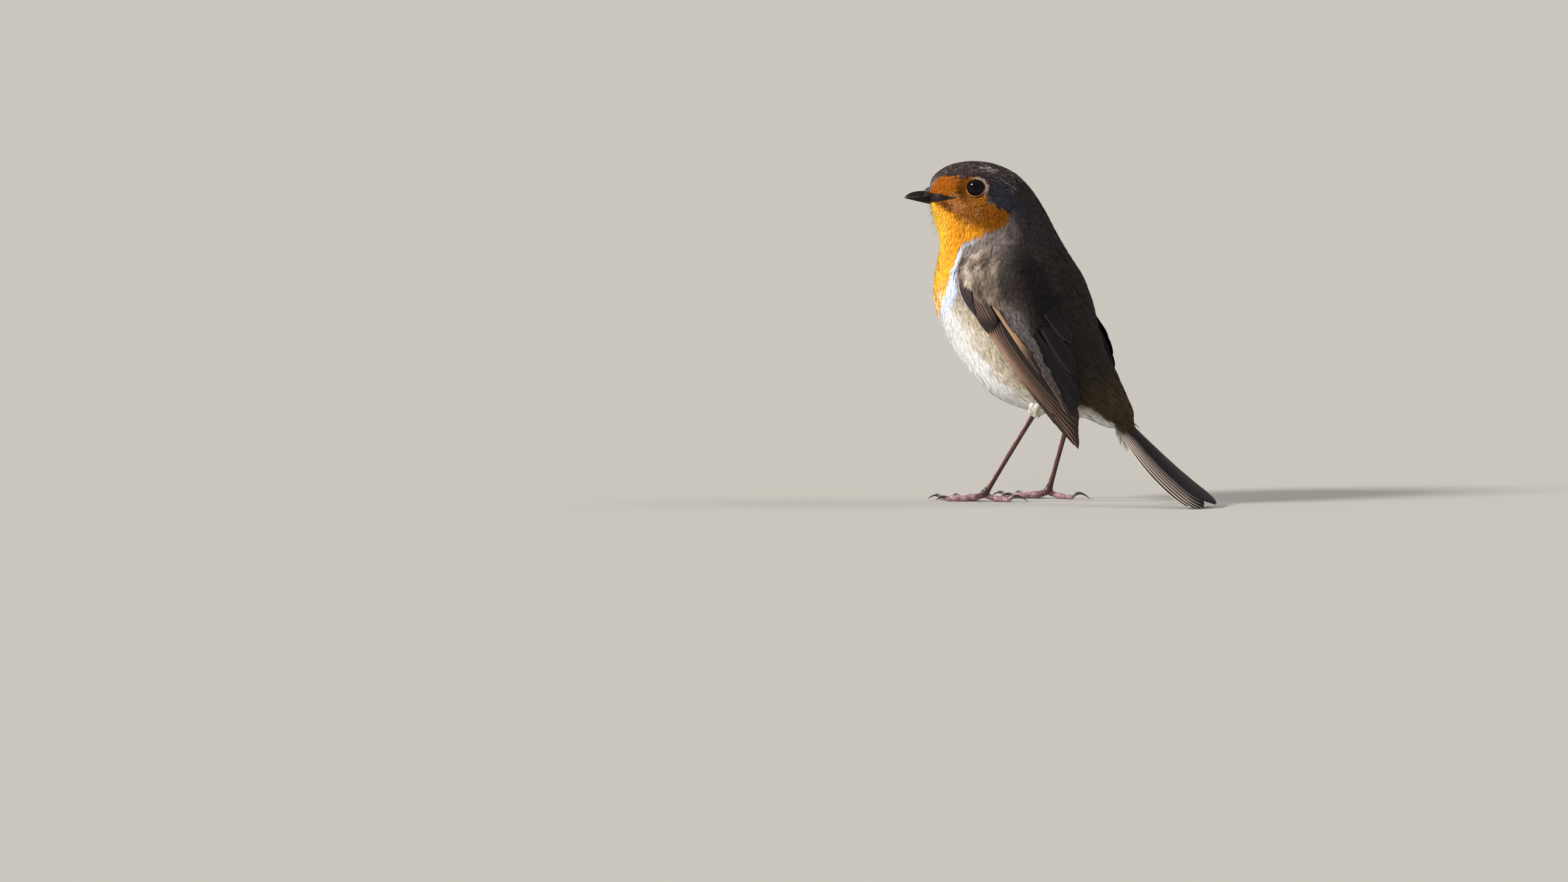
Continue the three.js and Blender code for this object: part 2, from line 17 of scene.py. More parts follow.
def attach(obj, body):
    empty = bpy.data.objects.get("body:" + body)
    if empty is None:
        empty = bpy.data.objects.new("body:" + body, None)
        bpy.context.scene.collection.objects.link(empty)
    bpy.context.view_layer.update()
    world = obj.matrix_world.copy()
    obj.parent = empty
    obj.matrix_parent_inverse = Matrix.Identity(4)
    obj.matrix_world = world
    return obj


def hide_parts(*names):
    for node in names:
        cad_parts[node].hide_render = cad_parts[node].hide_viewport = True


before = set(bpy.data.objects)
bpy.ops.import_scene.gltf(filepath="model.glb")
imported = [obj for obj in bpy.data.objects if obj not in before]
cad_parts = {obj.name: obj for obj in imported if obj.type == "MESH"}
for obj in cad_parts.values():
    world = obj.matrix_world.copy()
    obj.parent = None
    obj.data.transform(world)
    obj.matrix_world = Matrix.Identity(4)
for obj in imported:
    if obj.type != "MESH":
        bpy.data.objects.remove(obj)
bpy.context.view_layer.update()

PLACE = np.array([0.0, -15.3, 0.0])  # of the drawing frame in the part's frame
MM = 0.001
WHOLE_TURN = (0.0, 2.0 * np.pi)
UPWARD = np.array([0.0, 0.0, 1.0])

# ---------- driving sizes, the same as in the CAD ----------

# Middle of the back and of the front of each body ring [y, z], from the bill to the tail.
BODY_BACK = np.array([
    [-32.2, 98.4], [-30.9, 102.3], [-27.0, 105.4], [-22.0, 106.9], [-17.0, 107.2], [-11.0, 106.2],
    [-5.0, 103.4], [0.0, 98.6], [4.3, 92.0], [8.3, 84.8], [13.0, 78.0], [17.6, 71.0], [20.8, 63.0],
    [23.2, 54.5], [26.4, 46.5], [29.8, 40.5], [32.2, 36.0], [33.9, 32.6], [35.4, 29.6], [35.8, 27.2],
])
BODY_FRONT = np.array([
    [-32.0, 93.7], [-31.3, 91.0], [-30.6, 87.8], [-29.6, 84.0], [-28.8, 80.2], [-28.9, 76.0], [-29.8, 71.5],
    [-30.5, 67.0], [-30.6, 62.5], [-29.9, 58.0], [-27.9, 52.8], [-25.0, 47.6], [-20.8, 42.0], [-15.5, 36.0],
    [-8.0, 31.2], [2.0, 28.2], [11.6, 27.2], [20.0, 26.4], [26.6, 24.0], [31.0, 23.4],
])
# Half width of each ring near the back, at its middle and near the front.
BODY_WIDTH = np.array([
    [2.2, 2.4, 2.2], [3.9, 4.1, 4.0], [5.8, 6.4, 6.6], [8.0, 8.7, 9.7], [9.6, 10.3, 13.0],
    [9.8, 11.0, 15.8], [9.7, 12.4, 18.6], [9.8, 14.9, 20.5], [11.0, 17.8, 21.2], [14.0, 20.0, 21.0],
    [17.0, 21.0, 20.0], [18.5, 21.2, 18.5], [18.0, 20.5, 17.0], [16.5, 18.8, 15.5], [14.5, 16.2, 13.5],
    [12.0, 13.0, 11.0], [9.6, 10.2, 9.2], [7.6, 8.0, 7.4], [6.0, 6.2, 5.6], [3.6, 3.8, 3.4],
])
HEAD_TURN = math.radians(25.0)
TURN_AXIS_Y = -7.0
TURN_FROM_Z = 77.0
TURN_TO_Z = 93.0

EYE_RADIUS = 3.75
EYE_PLACE = np.array([5.75, -16.9, 98.95])
LID_OPENING = 3.0  # half the width of the opening between the lids
LID_FLATNESS = 1.13  # the opening is wider than high by this much

BILL_TIP = np.array([-39.9, 95.6])
BILL_ROOT_Y = -29.2
BILL_EDGE_Z = 96.0
BILL_TOP_HEIGHT = 1.72
BILL_LOW_HEIGHT = 2.75
BILL_TOP_CURVE = 7.0
BILL_LOW_CURVE = 1.25
BILL_HALF_WIDTH = 2.3

# Folded left wing: front edge, middle and back edge [x, y, z] at rows from shoulder to tip.
WING_ROWS = np.array([
    [[13.6, -17.6, 80.5], [14.9, -5.0, 84.0], [7.8, 6.8, 83.6]],
    [[18.0, -19.0, 74.2], [20.2, -3.4, 76.0], [10.8, 12.4, 75.6]],
    [[20.2, -17.2, 67.0], [22.2, -1.2, 66.5], [12.0, 16.8, 67.5]],
    [[21.2, -10.6, 57.6], [23.0, 4.2, 55.5], [12.8, 21.6, 56.5]],
    [[21.9, -1.2, 46.6], [22.0, 10.8, 43.8], [13.4, 25.2, 46.0]],
    [[20.4, 6.2, 36.9], [20.0, 15.4, 34.6], [14.0, 26.6, 37.4]],
    [[17.6, 14.6, 26.6], [17.4, 19.6, 25.4], [14.6, 26.2, 28.8]],
    [[14.6, 23.0, 16.6], [14.4, 23.8, 17.0], [14.2, 24.6, 17.8]],
])
RIGHT_TIP_SHIFT = np.array([-2.0, 2.2, 6.0])

TAIL_ROOT = np.array([29.4, 31.6])
TAIL_LENGTH = 49.0
TAIL_START_DIP = math.radians(50.0)
TAIL_END_DIP = math.radians(28.0)
TAIL_SWING = math.radians(13.0)
TAIL_ROLL = math.radians(8.0)
TAIL_HALF_WIDTH = [4.2, 6.8, 7.8]
TAIL_THICKNESS = [2.6, 1.8, 0.9]
TAIL_ROOF = 1.3
TAIL_NOTCH = 3.0
TAIL_CORNER = 5.0

LEGS = [
    {"side": "left", "sign": 1, "thigh": [8.2, 8.6, 33.0], "heel": [8.8, 4.8, 26.8],
     "joint": [10.0, -10.7, 2.3], "heading": 0.0},
    {"side": "right", "sign": -1, "thigh": [-8.4, 11.6, 33.0], "heel": [-9.0, 10.0, 26.2],
     "joint": [-10.0, 2.4, 2.3], "heading": -4.0},
]
SHANK_RADIUS = 0.82
# Toe name, outward angle in degrees, length from the joint, claw length, number of toe bones.
TOES = [("inner", -21.0, 11.6, 3.9, 3), ("middle", 2.0, 15.2, 4.4, 3), ("outer", 24.0, 12.0, 3.7, 4),
        ("hind", 184.0, 8.4, 6.6, 2)]
TOE_RADIUS = (1.02, 0.84)
TOE_HEIGHT = 0.72
CLAW_RADIUS = 0.55


# ---------- small helpers ----------

def unit(v):
    return v / np.maximum(np.linalg.norm(v, axis=-1, keepdims=True), 1e-9)


def lerp(a, b, share):
    return a + (b - a) * share


def smoothstep(x, lo, hi):
    s = np.clip((x - lo) / (hi - lo), 0.0, 1.0)
    return s * s * (3.0 - 2.0 * s)


def fade(x, lo, hi):
    """The other way round from smoothstep: 1 up to lo and 0 from hi on."""
    return 1.0 - smoothstep(x, lo, hi)


def hill(x, middle, reach):
    """1 at the middle, and nearly 0 from twice the reach on."""
    return np.exp(-((x - middle) / reach) ** 2)


def spot(u, v, middle, reach):
    """A hill over u and v together."""
    return np.exp(-((u - middle[0]) / reach[0]) ** 2 - ((v - middle[1]) / reach[1]) ** 2)


def grid(u_range, v_range, counts, ring=False):
    """Even steps of u and v over a grid. On a ring the end of v is left out, as it is the start again."""
    u = np.linspace(*u_range, counts[0])
    v = np.linspace(*v_range, counts[1], endpoint=not ring)
    return np.meshgrid(u, v, indexing="ij")


def smooth_at(values, t):
    """A smooth curve through evenly spaced values, read at t from 0 to 1."""
    values = np.asarray(values, float)
    last = len(values) - 1
    place = np.clip(np.asarray(t, float), 0.0, 1.0) * last
    i = np.minimum(place.astype(int), last - 1)
    f = (place - i).reshape(place.shape + (1,) * (values.ndim - 1))
    p0 = values[np.maximum(i - 1, 0)]
    p1 = values[i]
    p2 = values[i + 1]
    p3 = values[np.minimum(i + 2, last)]
    bend = 2 * p0 - 5 * p1 + 4 * p2 - p3
    return 0.5 * (2 * p1 + (p2 - p0) * f + bend * f ** 2 + (3 * p1 - p0 - 3 * p2 + p3) * f ** 3)


def colour(red, green, blue):
    """Linear colour from values of 0 to 255 as a screen shows them."""
    c = np.array([red, green, blue]) / 255.0
    return np.where(c <= 0.04045, c / 12.92, ((c + 0.055) / 1.055) ** 2.4)


def mix(a, b, share):
    """Colours a to b by share, which has one value for each point."""
    return a + (b - a) * np.asarray(share)[..., None]


def layered(tint, *layers):
    """A colour with others laid over it, each given with its share at each place."""
    for layer, share in layers:
        tint = mix(tint, layer, share)
    return tint


def mottle(points, size, seed):
    """Soft waves through space, from about -1 to 1, with patches about size wide."""
    random = np.random.default_rng(seed)
    directions = unit(random.normal(size=(7, 3))) * random.uniform(0.7, 1.5, (7, 1))
    phases = random.uniform(0.0, 2.0 * np.pi, 7)
    return np.sin(points @ directions.T * (2.0 * np.pi / size) + phases).mean(-1) * 1.7


# ---------- the body's shape ----------

def turned(p):
    """The head looks to the bird's left: points turn about the neck more the higher they are."""
    angle = HEAD_TURN * smoothstep(p[..., 2], TURN_FROM_Z, TURN_TO_Z)
    y = p[..., 1] - TURN_AXIS_Y
    x_turned = p[..., 0] * np.cos(angle) - y * np.sin(angle)
    y_turned = p[..., 0] * np.sin(angle) + y * np.cos(angle) + TURN_AXIS_Y
    return np.stack([x_turned, y_turned, p[..., 2]], -1)


def body_flat(t, phi):
    """A point of the loft before the head is turned."""
    back = smooth_at(BODY_BACK, t)
    front = smooth_at(BODY_FRONT, t)
    width = smooth_at(BODY_WIDTH, t)
    s = -np.cos(phi)
    slope = (width[..., 2] - width[..., 0]) / 2.0
    belly = (width[..., 2] + width[..., 0]) / 2.0 - width[..., 1]
    half = width[..., 1] + slope * s + belly * s * s
    yz = mix(back, front, (1.0 + s) / 2.0)
    return np.stack([half * np.sin(phi), yz[..., 0], yz[..., 1]], -1)


def side_degrees(phi):
    """Degrees away from the middle of the back, the same on the left and on the right."""
    return np.degrees(np.abs((phi + np.pi) % (2.0 * np.pi) - np.pi))


# Swells and hollows of the plumage: place t, phi in degrees, height, reach in t and in degrees.
SWELLS = [
    (0.06, 100.0, -0.8, 0.065, 36.0),  # the face narrows towards the bill
    (0.165, 92.0, -2.5, 0.055, 25.0),  # the corner of the mouth lies in a hollow
    (0.10, 66.0, -0.45, 0.05, 16.0),  # the lore, between bill and eye
    (0.20, 40.0, 0.30, 0.07, 14.0),  # the brow
    (0.27, 98.0, 0.55, 0.07, 24.0),  # the cheek
    (0.40, 92.0, -0.75, 0.035, 30.0),  # behind and under the cheek
    (0.40, 55.0, -0.35, 0.03, 18.0),
    (0.33, 150.0, 0.35, 0.08, 30.0),  # the throat
    (0.52, 122.0, 0.70, 0.07, 14.0),  # the breast side puffs out before the wing
    (0.72, 112.0, 0.55, 0.12, 22.0),  # the flank
]
EYE_LOOK = np.array([1.0, -0.30, 0.06])  # the way the left eye looks before the head is turned


def eye_frame(sign):
    """The middle of an eye, the way it looks, the way to its top and the level way across it."""
    mirror = np.array([sign, 1.0, 1.0])
    middle = turned(EYE_PLACE * mirror)
    axis = unit(turned((EYE_PLACE + EYE_LOOK) * mirror) - middle)
    up = unit(UPWARD - axis * axis[2])
    return middle, axis, up, np.cross(up, axis)


def eye_offsets(points, sign):
    """Height over an eye's middle, distance off its axis in the opening's oval, and places up and level."""
    middle, axis, up, level = eye_frame(sign)
    from_middle = points - middle
    rise = from_middle @ up
    across = from_middle @ level
    return from_middle @ axis, np.hypot(across, rise * LID_FLATNESS), rise, across


LID_HEIGHT = 2.32  # of the lid's plane above the eye's middle
DISH_SLOPE = 0.22  # how the plumage rises away from the lids
DISH_END = (4.6, 6.4)  # the distances from the eye's axis between which this hollow ends
BALL_COVER = 0.42  # of plumage over the eyeball beyond the lids
COVER_END = (4.0, 5.6)


def coat_point(t, phi):
    """The outer face of the plumage."""
    flat = body_flat(t, phi)
    axis = (smooth_at(BODY_BACK, t) + smooth_at(BODY_FRONT, t)) / 2.0
    outward = unit(flat - np.concatenate([np.zeros(axis.shape[:-1] + (1,)), axis], -1))
    side = side_degrees(phi)
    swell = np.zeros(np.shape(t))
    for at, middle, height, reach, spread in SWELLS:
        swell = swell + height * spot(t, side, (at, middle), (reach, spread))
    point = turned(flat + outward * swell[..., None])
    for sign in (1, -1):
        high, off, rise, across = eye_offsets(point, sign)
        allowed = LID_HEIGHT + DISH_SLOPE * np.maximum(off - LID_OPENING, -1.0)
        sink = np.maximum(high - allowed, 0.0) * fade(off, *DISH_END) * (high > 0.0)
        ball = np.sqrt(np.maximum(EYE_RADIUS ** 2 - rise ** 2 - across ** 2, 0.0)) + BALL_COVER
        lift = np.maximum(ball - high, 0.0) * fade(off, *COVER_END) * (high > -1.0)
        lift = lift * smoothstep(off, LID_OPENING - 0.4, LID_OPENING)
        point = point + (lift - sink)[..., None] * eye_frame(sign)[1]
    return point


def coat_depth(t):
    """How deep the skin lies under the plumage's outer face."""
    return smooth_at([0.18, 0.22, 0.25, 0.30, 0.38, 0.46, 0.50, 0.54, 0.56, 0.54, 0.46], t)


class Sheet:
    """A smooth surface kept as a fine grid, so that many places on it are read at once."""

    def __init__(self, function, u_range, v_range, counts, facing):
        self.low = np.array([u_range[0], v_range[0]])
        self.high = np.array([u_range[1], v_range[1]])
        self.counts = np.array(counts)
        u = np.linspace(*u_range, counts[0])
        v = np.linspace(*v_range, counts[1])
        point = function(*np.meshgrid(u, v, indexing="ij"))
        along = np.gradient(point, u, axis=0)
        across = np.gradient(point, v, axis=1)
        normal = unit(np.cross(across, along)) * facing
        self.table = np.concatenate([point, normal, along, across], -1)

    def at(self, u, v, width=12):
        """Point and normal at each place, and with the full width the change along u and along v too."""
        place = (np.stack([u, v], -1) - self.low) / (self.high - self.low) * (self.counts - 1)
        place = np.clip(place, 0.0, self.counts - 1.001)
        i = place.astype(int)
        f = place - i
        a, b = i[..., 0], i[..., 1]
        fa, fb = f[..., :1], f[..., 1:]
        table = self.table[..., :width]
        near = table[a, b] * (1 - fb) + table[a, b + 1] * fb
        far = table[a + 1, b] * (1 - fb) + table[a + 1, b + 1] * fb
        return near * (1 - fa) + far * fa

    def beyond(self, u, v):
        """Point and normal at each place, carried straight on past the sheet's borders."""
        inner = np.clip(np.stack([u, v], -1), self.low, self.high)
        read = self.at(inner[..., 0], inner[..., 1])
        over_u = (u - inner[..., 0])[..., None]
        over_v = (v - inner[..., 1])[..., None]
        return read[..., :3] + read[..., 6:9] * over_u + read[..., 9:12] * over_v, unit(read[..., 3:6])


def steps_along(du, dv, direction):
    """How far u and v go for each millimetre in a direction on a sheet."""
    uu = (du * du).sum(-1)
    uv = (du * dv).sum(-1)
    vv = (dv * dv).sum(-1)
    along_u = (du * direction).sum(-1)
    along_v = (dv * direction).sum(-1)
    area = np.maximum(uu * vv - uv * uv, 1e-6)
    return np.stack([vv * along_u - uv * along_v, uu * along_v - uv * along_u], -1) / area[..., None]


BODY = Sheet(coat_point, (0.0, 1.0), (-1.35 * np.pi, 1.35 * np.pi), (420, 560), 1.0)


def wing_point(sign, along, across):
    rows = smooth_at(WING_ROWS, along)
    a = np.asarray(across)[..., None]
    front = (1 - a) * (1 - 2 * a) * rows[..., 0, :]
    point = front + 4 * a * (1 - a) * rows[..., 1, :] + a * (2 * a - 1) * rows[..., 2, :]
    if sign < 0:
        point = point + smoothstep(np.asarray(along), 0.5, 1.0)[..., None] * RIGHT_TIP_SHIFT
    return point * np.array([sign, 1.0, 1.0])


def wing_sheets(surface):
    """The sheets of the left wing (1) and of the right wing (-1)."""
    return {sign: Sheet(partial(surface, sign), (0.0, 1.0), (-0.08, 1.08), (260, 160), -sign)
            for sign in (1, -1)}


WINGS = wing_sheets(wing_point)


def wing_coat_point(sign, along, across):
    """Outer face of a wing's small feathers: the wing's own, sunk at its borders to meet the body's."""
    read = WINGS[sign].at(along, across, 6)
    sink = 1.7 * fade(along, 0.0, 0.17) + 0.7 * fade(across, -0.04, 0.12)
    sink = sink + 2.3 * smoothstep(across, 0.76, 1.02) * fade(along, 0.36, 0.52)
    sink = sink + 0.3 * smoothstep(along, 0.28, 0.44)
    return read[..., :3] - read[..., 3:6] * sink[..., None]


WING_COATS = wing_sheets(wing_coat_point)


def tail_point(face, s, q):
    """A point of the tail: s from its root, q from left (1) to right (-1), face 0 on top and 1 below."""
    s, q = np.broadcast_arrays(np.asarray(s, float), np.asarray(q, float))
    bend = (TAIL_END_DIP - TAIL_START_DIP) / TAIL_LENGTH
    dip = TAIL_START_DIP + bend * s
    back = (np.sin(dip) - math.sin(TAIL_START_DIP)) / bend
    down = (math.cos(TAIL_START_DIP) - np.cos(dip)) / bend
    share = np.clip(s / TAIL_LENGTH, 0.0, 1.0)
    half_width = smooth_at(TAIL_HALF_WIDTH, share)
    thickness = smooth_at(TAIL_THICKNESS, share) * (1 - 0.45 * np.minimum(q * q, 1.2))
    drop = TAIL_ROOF * (1 - 0.5 * share) * q * q + face * thickness
    roll = TAIL_ROLL * smoothstep(share, 0.0, 0.4)
    aside = q * half_width * np.cos(roll) - drop * np.sin(roll)
    under = drop * np.cos(roll) + q * half_width * np.sin(roll)
    swing = TAIL_SWING * smoothstep(share, 0.0, 0.3)
    behind = back - under * np.sin(dip)
    x = aside * np.cos(swing) + behind * np.sin(swing)
    y = TAIL_ROOT[0] + behind * np.cos(swing) - aside * np.sin(swing)
    z = TAIL_ROOT[1] - down - under * np.cos(dip)
    return np.stack([x, y, z], -1)


def tail_sheet(face, facing):
    return Sheet(partial(tail_point, face), (-6.0, TAIL_LENGTH), (-1.15, 1.15), (120, 60), facing)


TAIL_TOP = tail_sheet(0.0, 1.0)
TAIL_UNDER = tail_sheet(1.0, -1.0)


# ---------- meshes ----------

def fill(target, key, values, kind=np.float32):
    target.foreach_set(key, values.ravel().astype(kind))


def new_mesh(name, points, faces, tint=None, uv=None, normals=None, extra=None):
    """A mesh object from arrays. faces is a list of arrays of corner numbers, one for each kind of face."""
    mesh = bpy.data.meshes.new(name)
    points = (np.asarray(points, float) + PLACE) * MM
    corners = np.concatenate([f.ravel() for f in faces])
    sizes = np.concatenate([np.full(len(f), f.shape[1]) for f in faces])
    mesh.vertices.add(len(points))
    fill(mesh.vertices, "co", points)
    mesh.loops.add(len(corners))
    fill(mesh.loops, "vertex_index", corners, np.int32)
    mesh.polygons.add(len(sizes))
    fill(mesh.polygons, "loop_start", np.concatenate([[0], np.cumsum(sizes)[:-1]]), np.int32)
    fill(mesh.polygons, "use_smooth", np.ones(len(sizes)), bool)
    mesh.update(calc_edges=True)
    if tint is not None:
        rgba = np.concatenate([tint, np.ones((len(tint), 1))], 1)
        fill(mesh.color_attributes.new("Markings", "FLOAT_COLOR", "POINT").data, "color", rgba)
    if extra is not None:
        fill(mesh.attributes.new("Web", "FLOAT_VECTOR", "POINT").data, "vector", extra)
    if uv is not None:
        fill(mesh.uv_layers.new(name="OFBake").data, "uv", uv[corners])
    if normals is not None:
        mesh.normals_split_custom_set_from_vertices(unit(normals).astype(np.float32))
    piece = bpy.data.objects.new(name, mesh)
    bpy.context.scene.collection.objects.link(piece)
    return piece


def grid_faces(rows, columns, ring=False, flip=False):
    """Quads over a grid of rows by columns points, whose rows close on themselves where it is a ring."""
    r, c = np.meshgrid(np.arange(rows - 1), np.arange(columns if ring else columns - 1), indexing="ij")
    c2 = (c + 1) % columns
    quads = np.stack([r * columns + c, r * columns + c2, (r + 1) * columns + c2, (r + 1) * columns + c], -1)
    quads = quads.reshape(-1, 4)
    return quads[:, ::-1] if flip else quads


def closed_loft(rings, ends=None, flip=False):
    """Points and faces over a grid of rings, closed by a fan at both ends."""
    rows, around = rings.shape[:2]
    ends = rings[[0, -1]].mean(1) if ends is None else ends
    near = np.arange(around)
    far = near + (rows - 1) * around
    caps = [np.stack([np.roll(near, -1), near, np.full(around, rows * around)], -1),
            np.stack([far, np.roll(far, -1), np.full(around, rows * around + 1)], -1)]
    if flip:
        caps = [cap[:, ::-1] for cap in caps]
    points = np.concatenate([rings.reshape(-1, 3), ends])
    return points, [grid_faces(rows, around, ring=True, flip=flip)] + caps


def with_ends(values):
    """Values of a closed loft's points, with those of the two end points added."""
    return np.concatenate([values, values[:1], values[-1:]])


class Parts:
    """Gathers shapes that become one mesh."""

    def __init__(self):
        self.count = 0
        self.points = []
        self.faces = {}
        self.stores = {"tint": [], "uv": [], "normals": [], "extra": []}

    def add(self, points, faces, **layers):
        points = points.reshape(-1, 3)
        for f in faces:
            self.faces.setdefault(f.shape[1], []).append(f + self.count)
        self.count += len(points)
        self.points.append(points)
        for key, values in layers.items():
            self.stores[key].append(np.broadcast_to(values, (len(points), np.shape(values)[-1])))

    def finish(self, name, material, slot, nodes=()):
        """Make the piece, with its finish and the CAD nodes that it stands for."""
        faces = [np.concatenate(f) for f in self.faces.values()]
        layers = {key: np.concatenate(store) for key, store in self.stores.items() if store}
        piece = new_mesh(name, np.concatenate(self.points), faces, **layers)
        piece.data.materials.append(material)
        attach(piece, "root")
        if nodes:
            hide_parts(*nodes)


def tube(path, radius, sides, up=UPWARD, caps=True):
    """A closed tube round a path. radius(share, angle) is its half width; angle 0 is on the side of up."""
    heading = unit(np.gradient(path, axis=0))
    side = unit(np.cross(heading, np.asarray(up)))
    above = unit(np.cross(side, heading))
    share, angle = grid((0.0, 1.0), WHOLE_TURN, (len(path), sides), ring=True)
    ring = above[:, None] * np.cos(angle)[..., None] + side[:, None] * np.sin(angle)[..., None]
    rings = path[:, None] + ring * radius(share, angle)[..., None]
    points, faces = closed_loft(rings, path[[0, -1]], flip=True)
    return (points, faces) if caps else (points[:-2], faces[:1])


# ---------- materials ----------

def new_material(name, roughness, specular=0.5, coat=0.0, coat_roughness=0.05, sheen=0.0):
    material = bpy.data.materials.new(name)
    material.use_nodes = True
    shader = material.node_tree.nodes["Principled BSDF"]
    finish = {"Roughness": roughness, "Specular IOR Level": specular, "Coat Weight": coat,
              "Coat Roughness": coat_roughness, "Sheen Weight": sheen, "Sheen Roughness": 0.5}
    for socket, value in finish.items():
        shader.inputs[socket].default_value = value
    return material, material.node_tree, shader


def add_node(tree, kind, inputs=None, **settings):
    """A node whose inputs are set, or linked where the value is another node's output."""
    node = tree.nodes.new(kind)
    for key, value in settings.items():
        setattr(node, key, value)
    for key, value in (inputs or {}).items():
        if isinstance(value, bpy.types.NodeSocket):
            tree.links.new(value, node.inputs[key])
        else:
            node.inputs[key].default_value = value
    return node.outputs


def noise_value(tree, scale, detail, stretch=(1.0, 1.0, 1.0), vector=None):
    """Noise over the object's own space, in patches of about 1/scale metres."""
    if vector is None:
        vector = add_node(tree, "ShaderNodeTexCoord")["Object"]
    place = add_node(tree, "ShaderNodeMapping", {"Vector": vector, "Scale": stretch})["Vector"]
    return add_node(tree, "ShaderNodeTexNoise", {"Vector": place, "Scale": scale, "Detail": detail})["Fac"]


def finish_material(tree, shader, value, shades, bump=None):
    """The markings made darker or lighter by a value, which gives the bump's depth and strength too."""
    markings = add_node(tree, "ShaderNodeAttribute", attribute_name="Markings")["Color"]
    spread = add_node(tree, "ShaderNodeMapRange", {"Value": value, "From Min": 0.25, "From Max": 0.75,
                                                   "To Min": shades[0], "To Max": shades[1]})["Result"]
    tint = add_node(tree, "ShaderNodeVectorMath", {0: markings, "Scale": spread}, operation="SCALE")["Vector"]
    tree.links.new(tint, shader.inputs["Base Color"])
    if bump:
        relief = add_node(tree, "ShaderNodeBump", {"Height": value, "Distance": bump[0], "Strength": bump[1]})
        tree.links.new(relief["Normal"], shader.inputs["Normal"])


def grained_material(name, roughness, specular, grain, shades, bump=None, **finish):
    """A material with a fine grain, given as noise_value's scale, detail and stretch."""
    material, tree, shader = new_material(name, roughness, specular, **finish)
    finish_material(tree, shader, noise_value(tree, *grain), shades, bump)
    return material


def vane_material():
    """Firm feathers: fine barbs run slantwise from the shaft, from the blade's own coordinates."""
    material, tree, shader = new_material("vane", 0.52, specular=0.22)
    web = add_node(tree, "ShaderNodeAttribute", attribute_name="Web")["Vector"]
    parts = add_node(tree, "ShaderNodeSeparateXYZ", {"Vector": web})
    off_shaft = add_node(tree, "ShaderNodeMath", {0: parts["X"]}, operation="ABSOLUTE")[0]
    slant = add_node(tree, "ShaderNodeMath", {0: off_shaft, 1: -1.7, 2: parts["Y"]},
                     operation="MULTIPLY_ADD")[0]
    row = add_node(tree, "ShaderNodeCombineXYZ", {"X": slant, "Y": parts["Z"]})["Vector"]
    finish_material(tree, shader, noise_value(tree, 4.5, 2.0, vector=row), (0.80, 1.18), (0.00005, 0.5))
    return material


WET = {"coat": 0.2, "coat_roughness": 0.2}
PLUMAGE = grained_material("plumage", 0.62, 0.09, (2600.0, 2.0), (0.86, 1.14), sheen=0.02)
UNDER_DOWN = grained_material("under_down", 0.85, 0.1, (1400.0, 4.0), (0.75, 1.1), (0.00012, 0.6))
VANE = vane_material()
HORN = grained_material("bill_horn", 0.44, 0.14, (500.0, 4.0, (0.6, 0.25, 2.0)), (0.75, 1.2), (0.00006, 0.35))
LEG_SKIN = grained_material("leg_skin", 0.34, 0.45, (1500.0, 4.0), (0.72, 1.2), (0.00010, 0.6), **WET)
CLAW_HORN = grained_material("claw_horn", 0.28, 0.5, (900.0, 3.0), (0.8, 1.25), (0.00004, 0.3), **WET)
EYE_GLOSS = grained_material("eye", 0.03, 0.16, (1200.0, 3.0), (0.7, 1.3))


# ---------- markings of the body ----------

ORANGE = colour(250, 164, 36)
THROAT = colour(255, 188, 62)
# Painted shade: the cheek's orange where the shadow of the bill and head falls.
CHEEK_SHADOW = colour(142, 82, 12)
FOREHEAD = colour(166, 88, 0)
LORE = colour(146, 86, 6)
# Painted shade under the corner of the mouth and in front of the eye.
PAINTED_FACE_SHADE = colour(74, 42, 8)
BLUE_GREY = colour(50, 50, 62)
PALE_BLUE = colour(218, 230, 255)
PALE_GREY = colour(226, 228, 234)
CROWN = colour(60, 48, 48)
NAPE = colour(50, 45, 45)
BACK = colour(46, 40, 38)
RUMP = colour(68, 57, 40)
NECK_SIDE = colour(138, 126, 120)
FLANK = colour(204, 190, 168)
FLANK_EDGE = colour(130, 116, 94)
WHITE = colour(255, 254, 253)
VENT = colour(214, 210, 204)
CRESCENT_FRONT = colour(168, 120, 62)
CRESCENT = colour(204, 182, 166)
FLECK = colour(240, 206, 170)
# Painted glints: pale streaks on the crown and on the feathers over the bill's root.
PALE_GLINT_STREAK = colour(176, 166, 164)

# Soft spots on the orange face: colour, the most that it covers, and for each spot its t and degrees from the
# back line, its reach in both, and its strength. The second colour is painted shade under the corner of the
# mouth and in front of the eye.
FACE_SPOTS = [
    (LORE, 0.6, [((0.165, 76.0), (0.04, 11.0), 0.6), ((0.10, 116.0), (0.07, 7.0), 0.36)]),
    (PAINTED_FACE_SHADE, 0.9, [((0.145, 105.0), (0.045, 7.0), 0.8), ((0.193, 73.0), (0.022, 10.0), 0.7)]),
]
# At even steps of t, the degrees from the back line where the back ends, and along the head where the painted
# shadow of the bill over the cheek ends.
BACK_END = [56.0, 58.0, 60.0, 66.0, 76.0, 84.0, 82.0, 82.0, 86.0, 98.0, 104.0]
CHEEK_SHADOW_END = [118.0, 116.0, 111.0, 103.0, 90.0, 76.0]
HEAD_END_T = 0.40

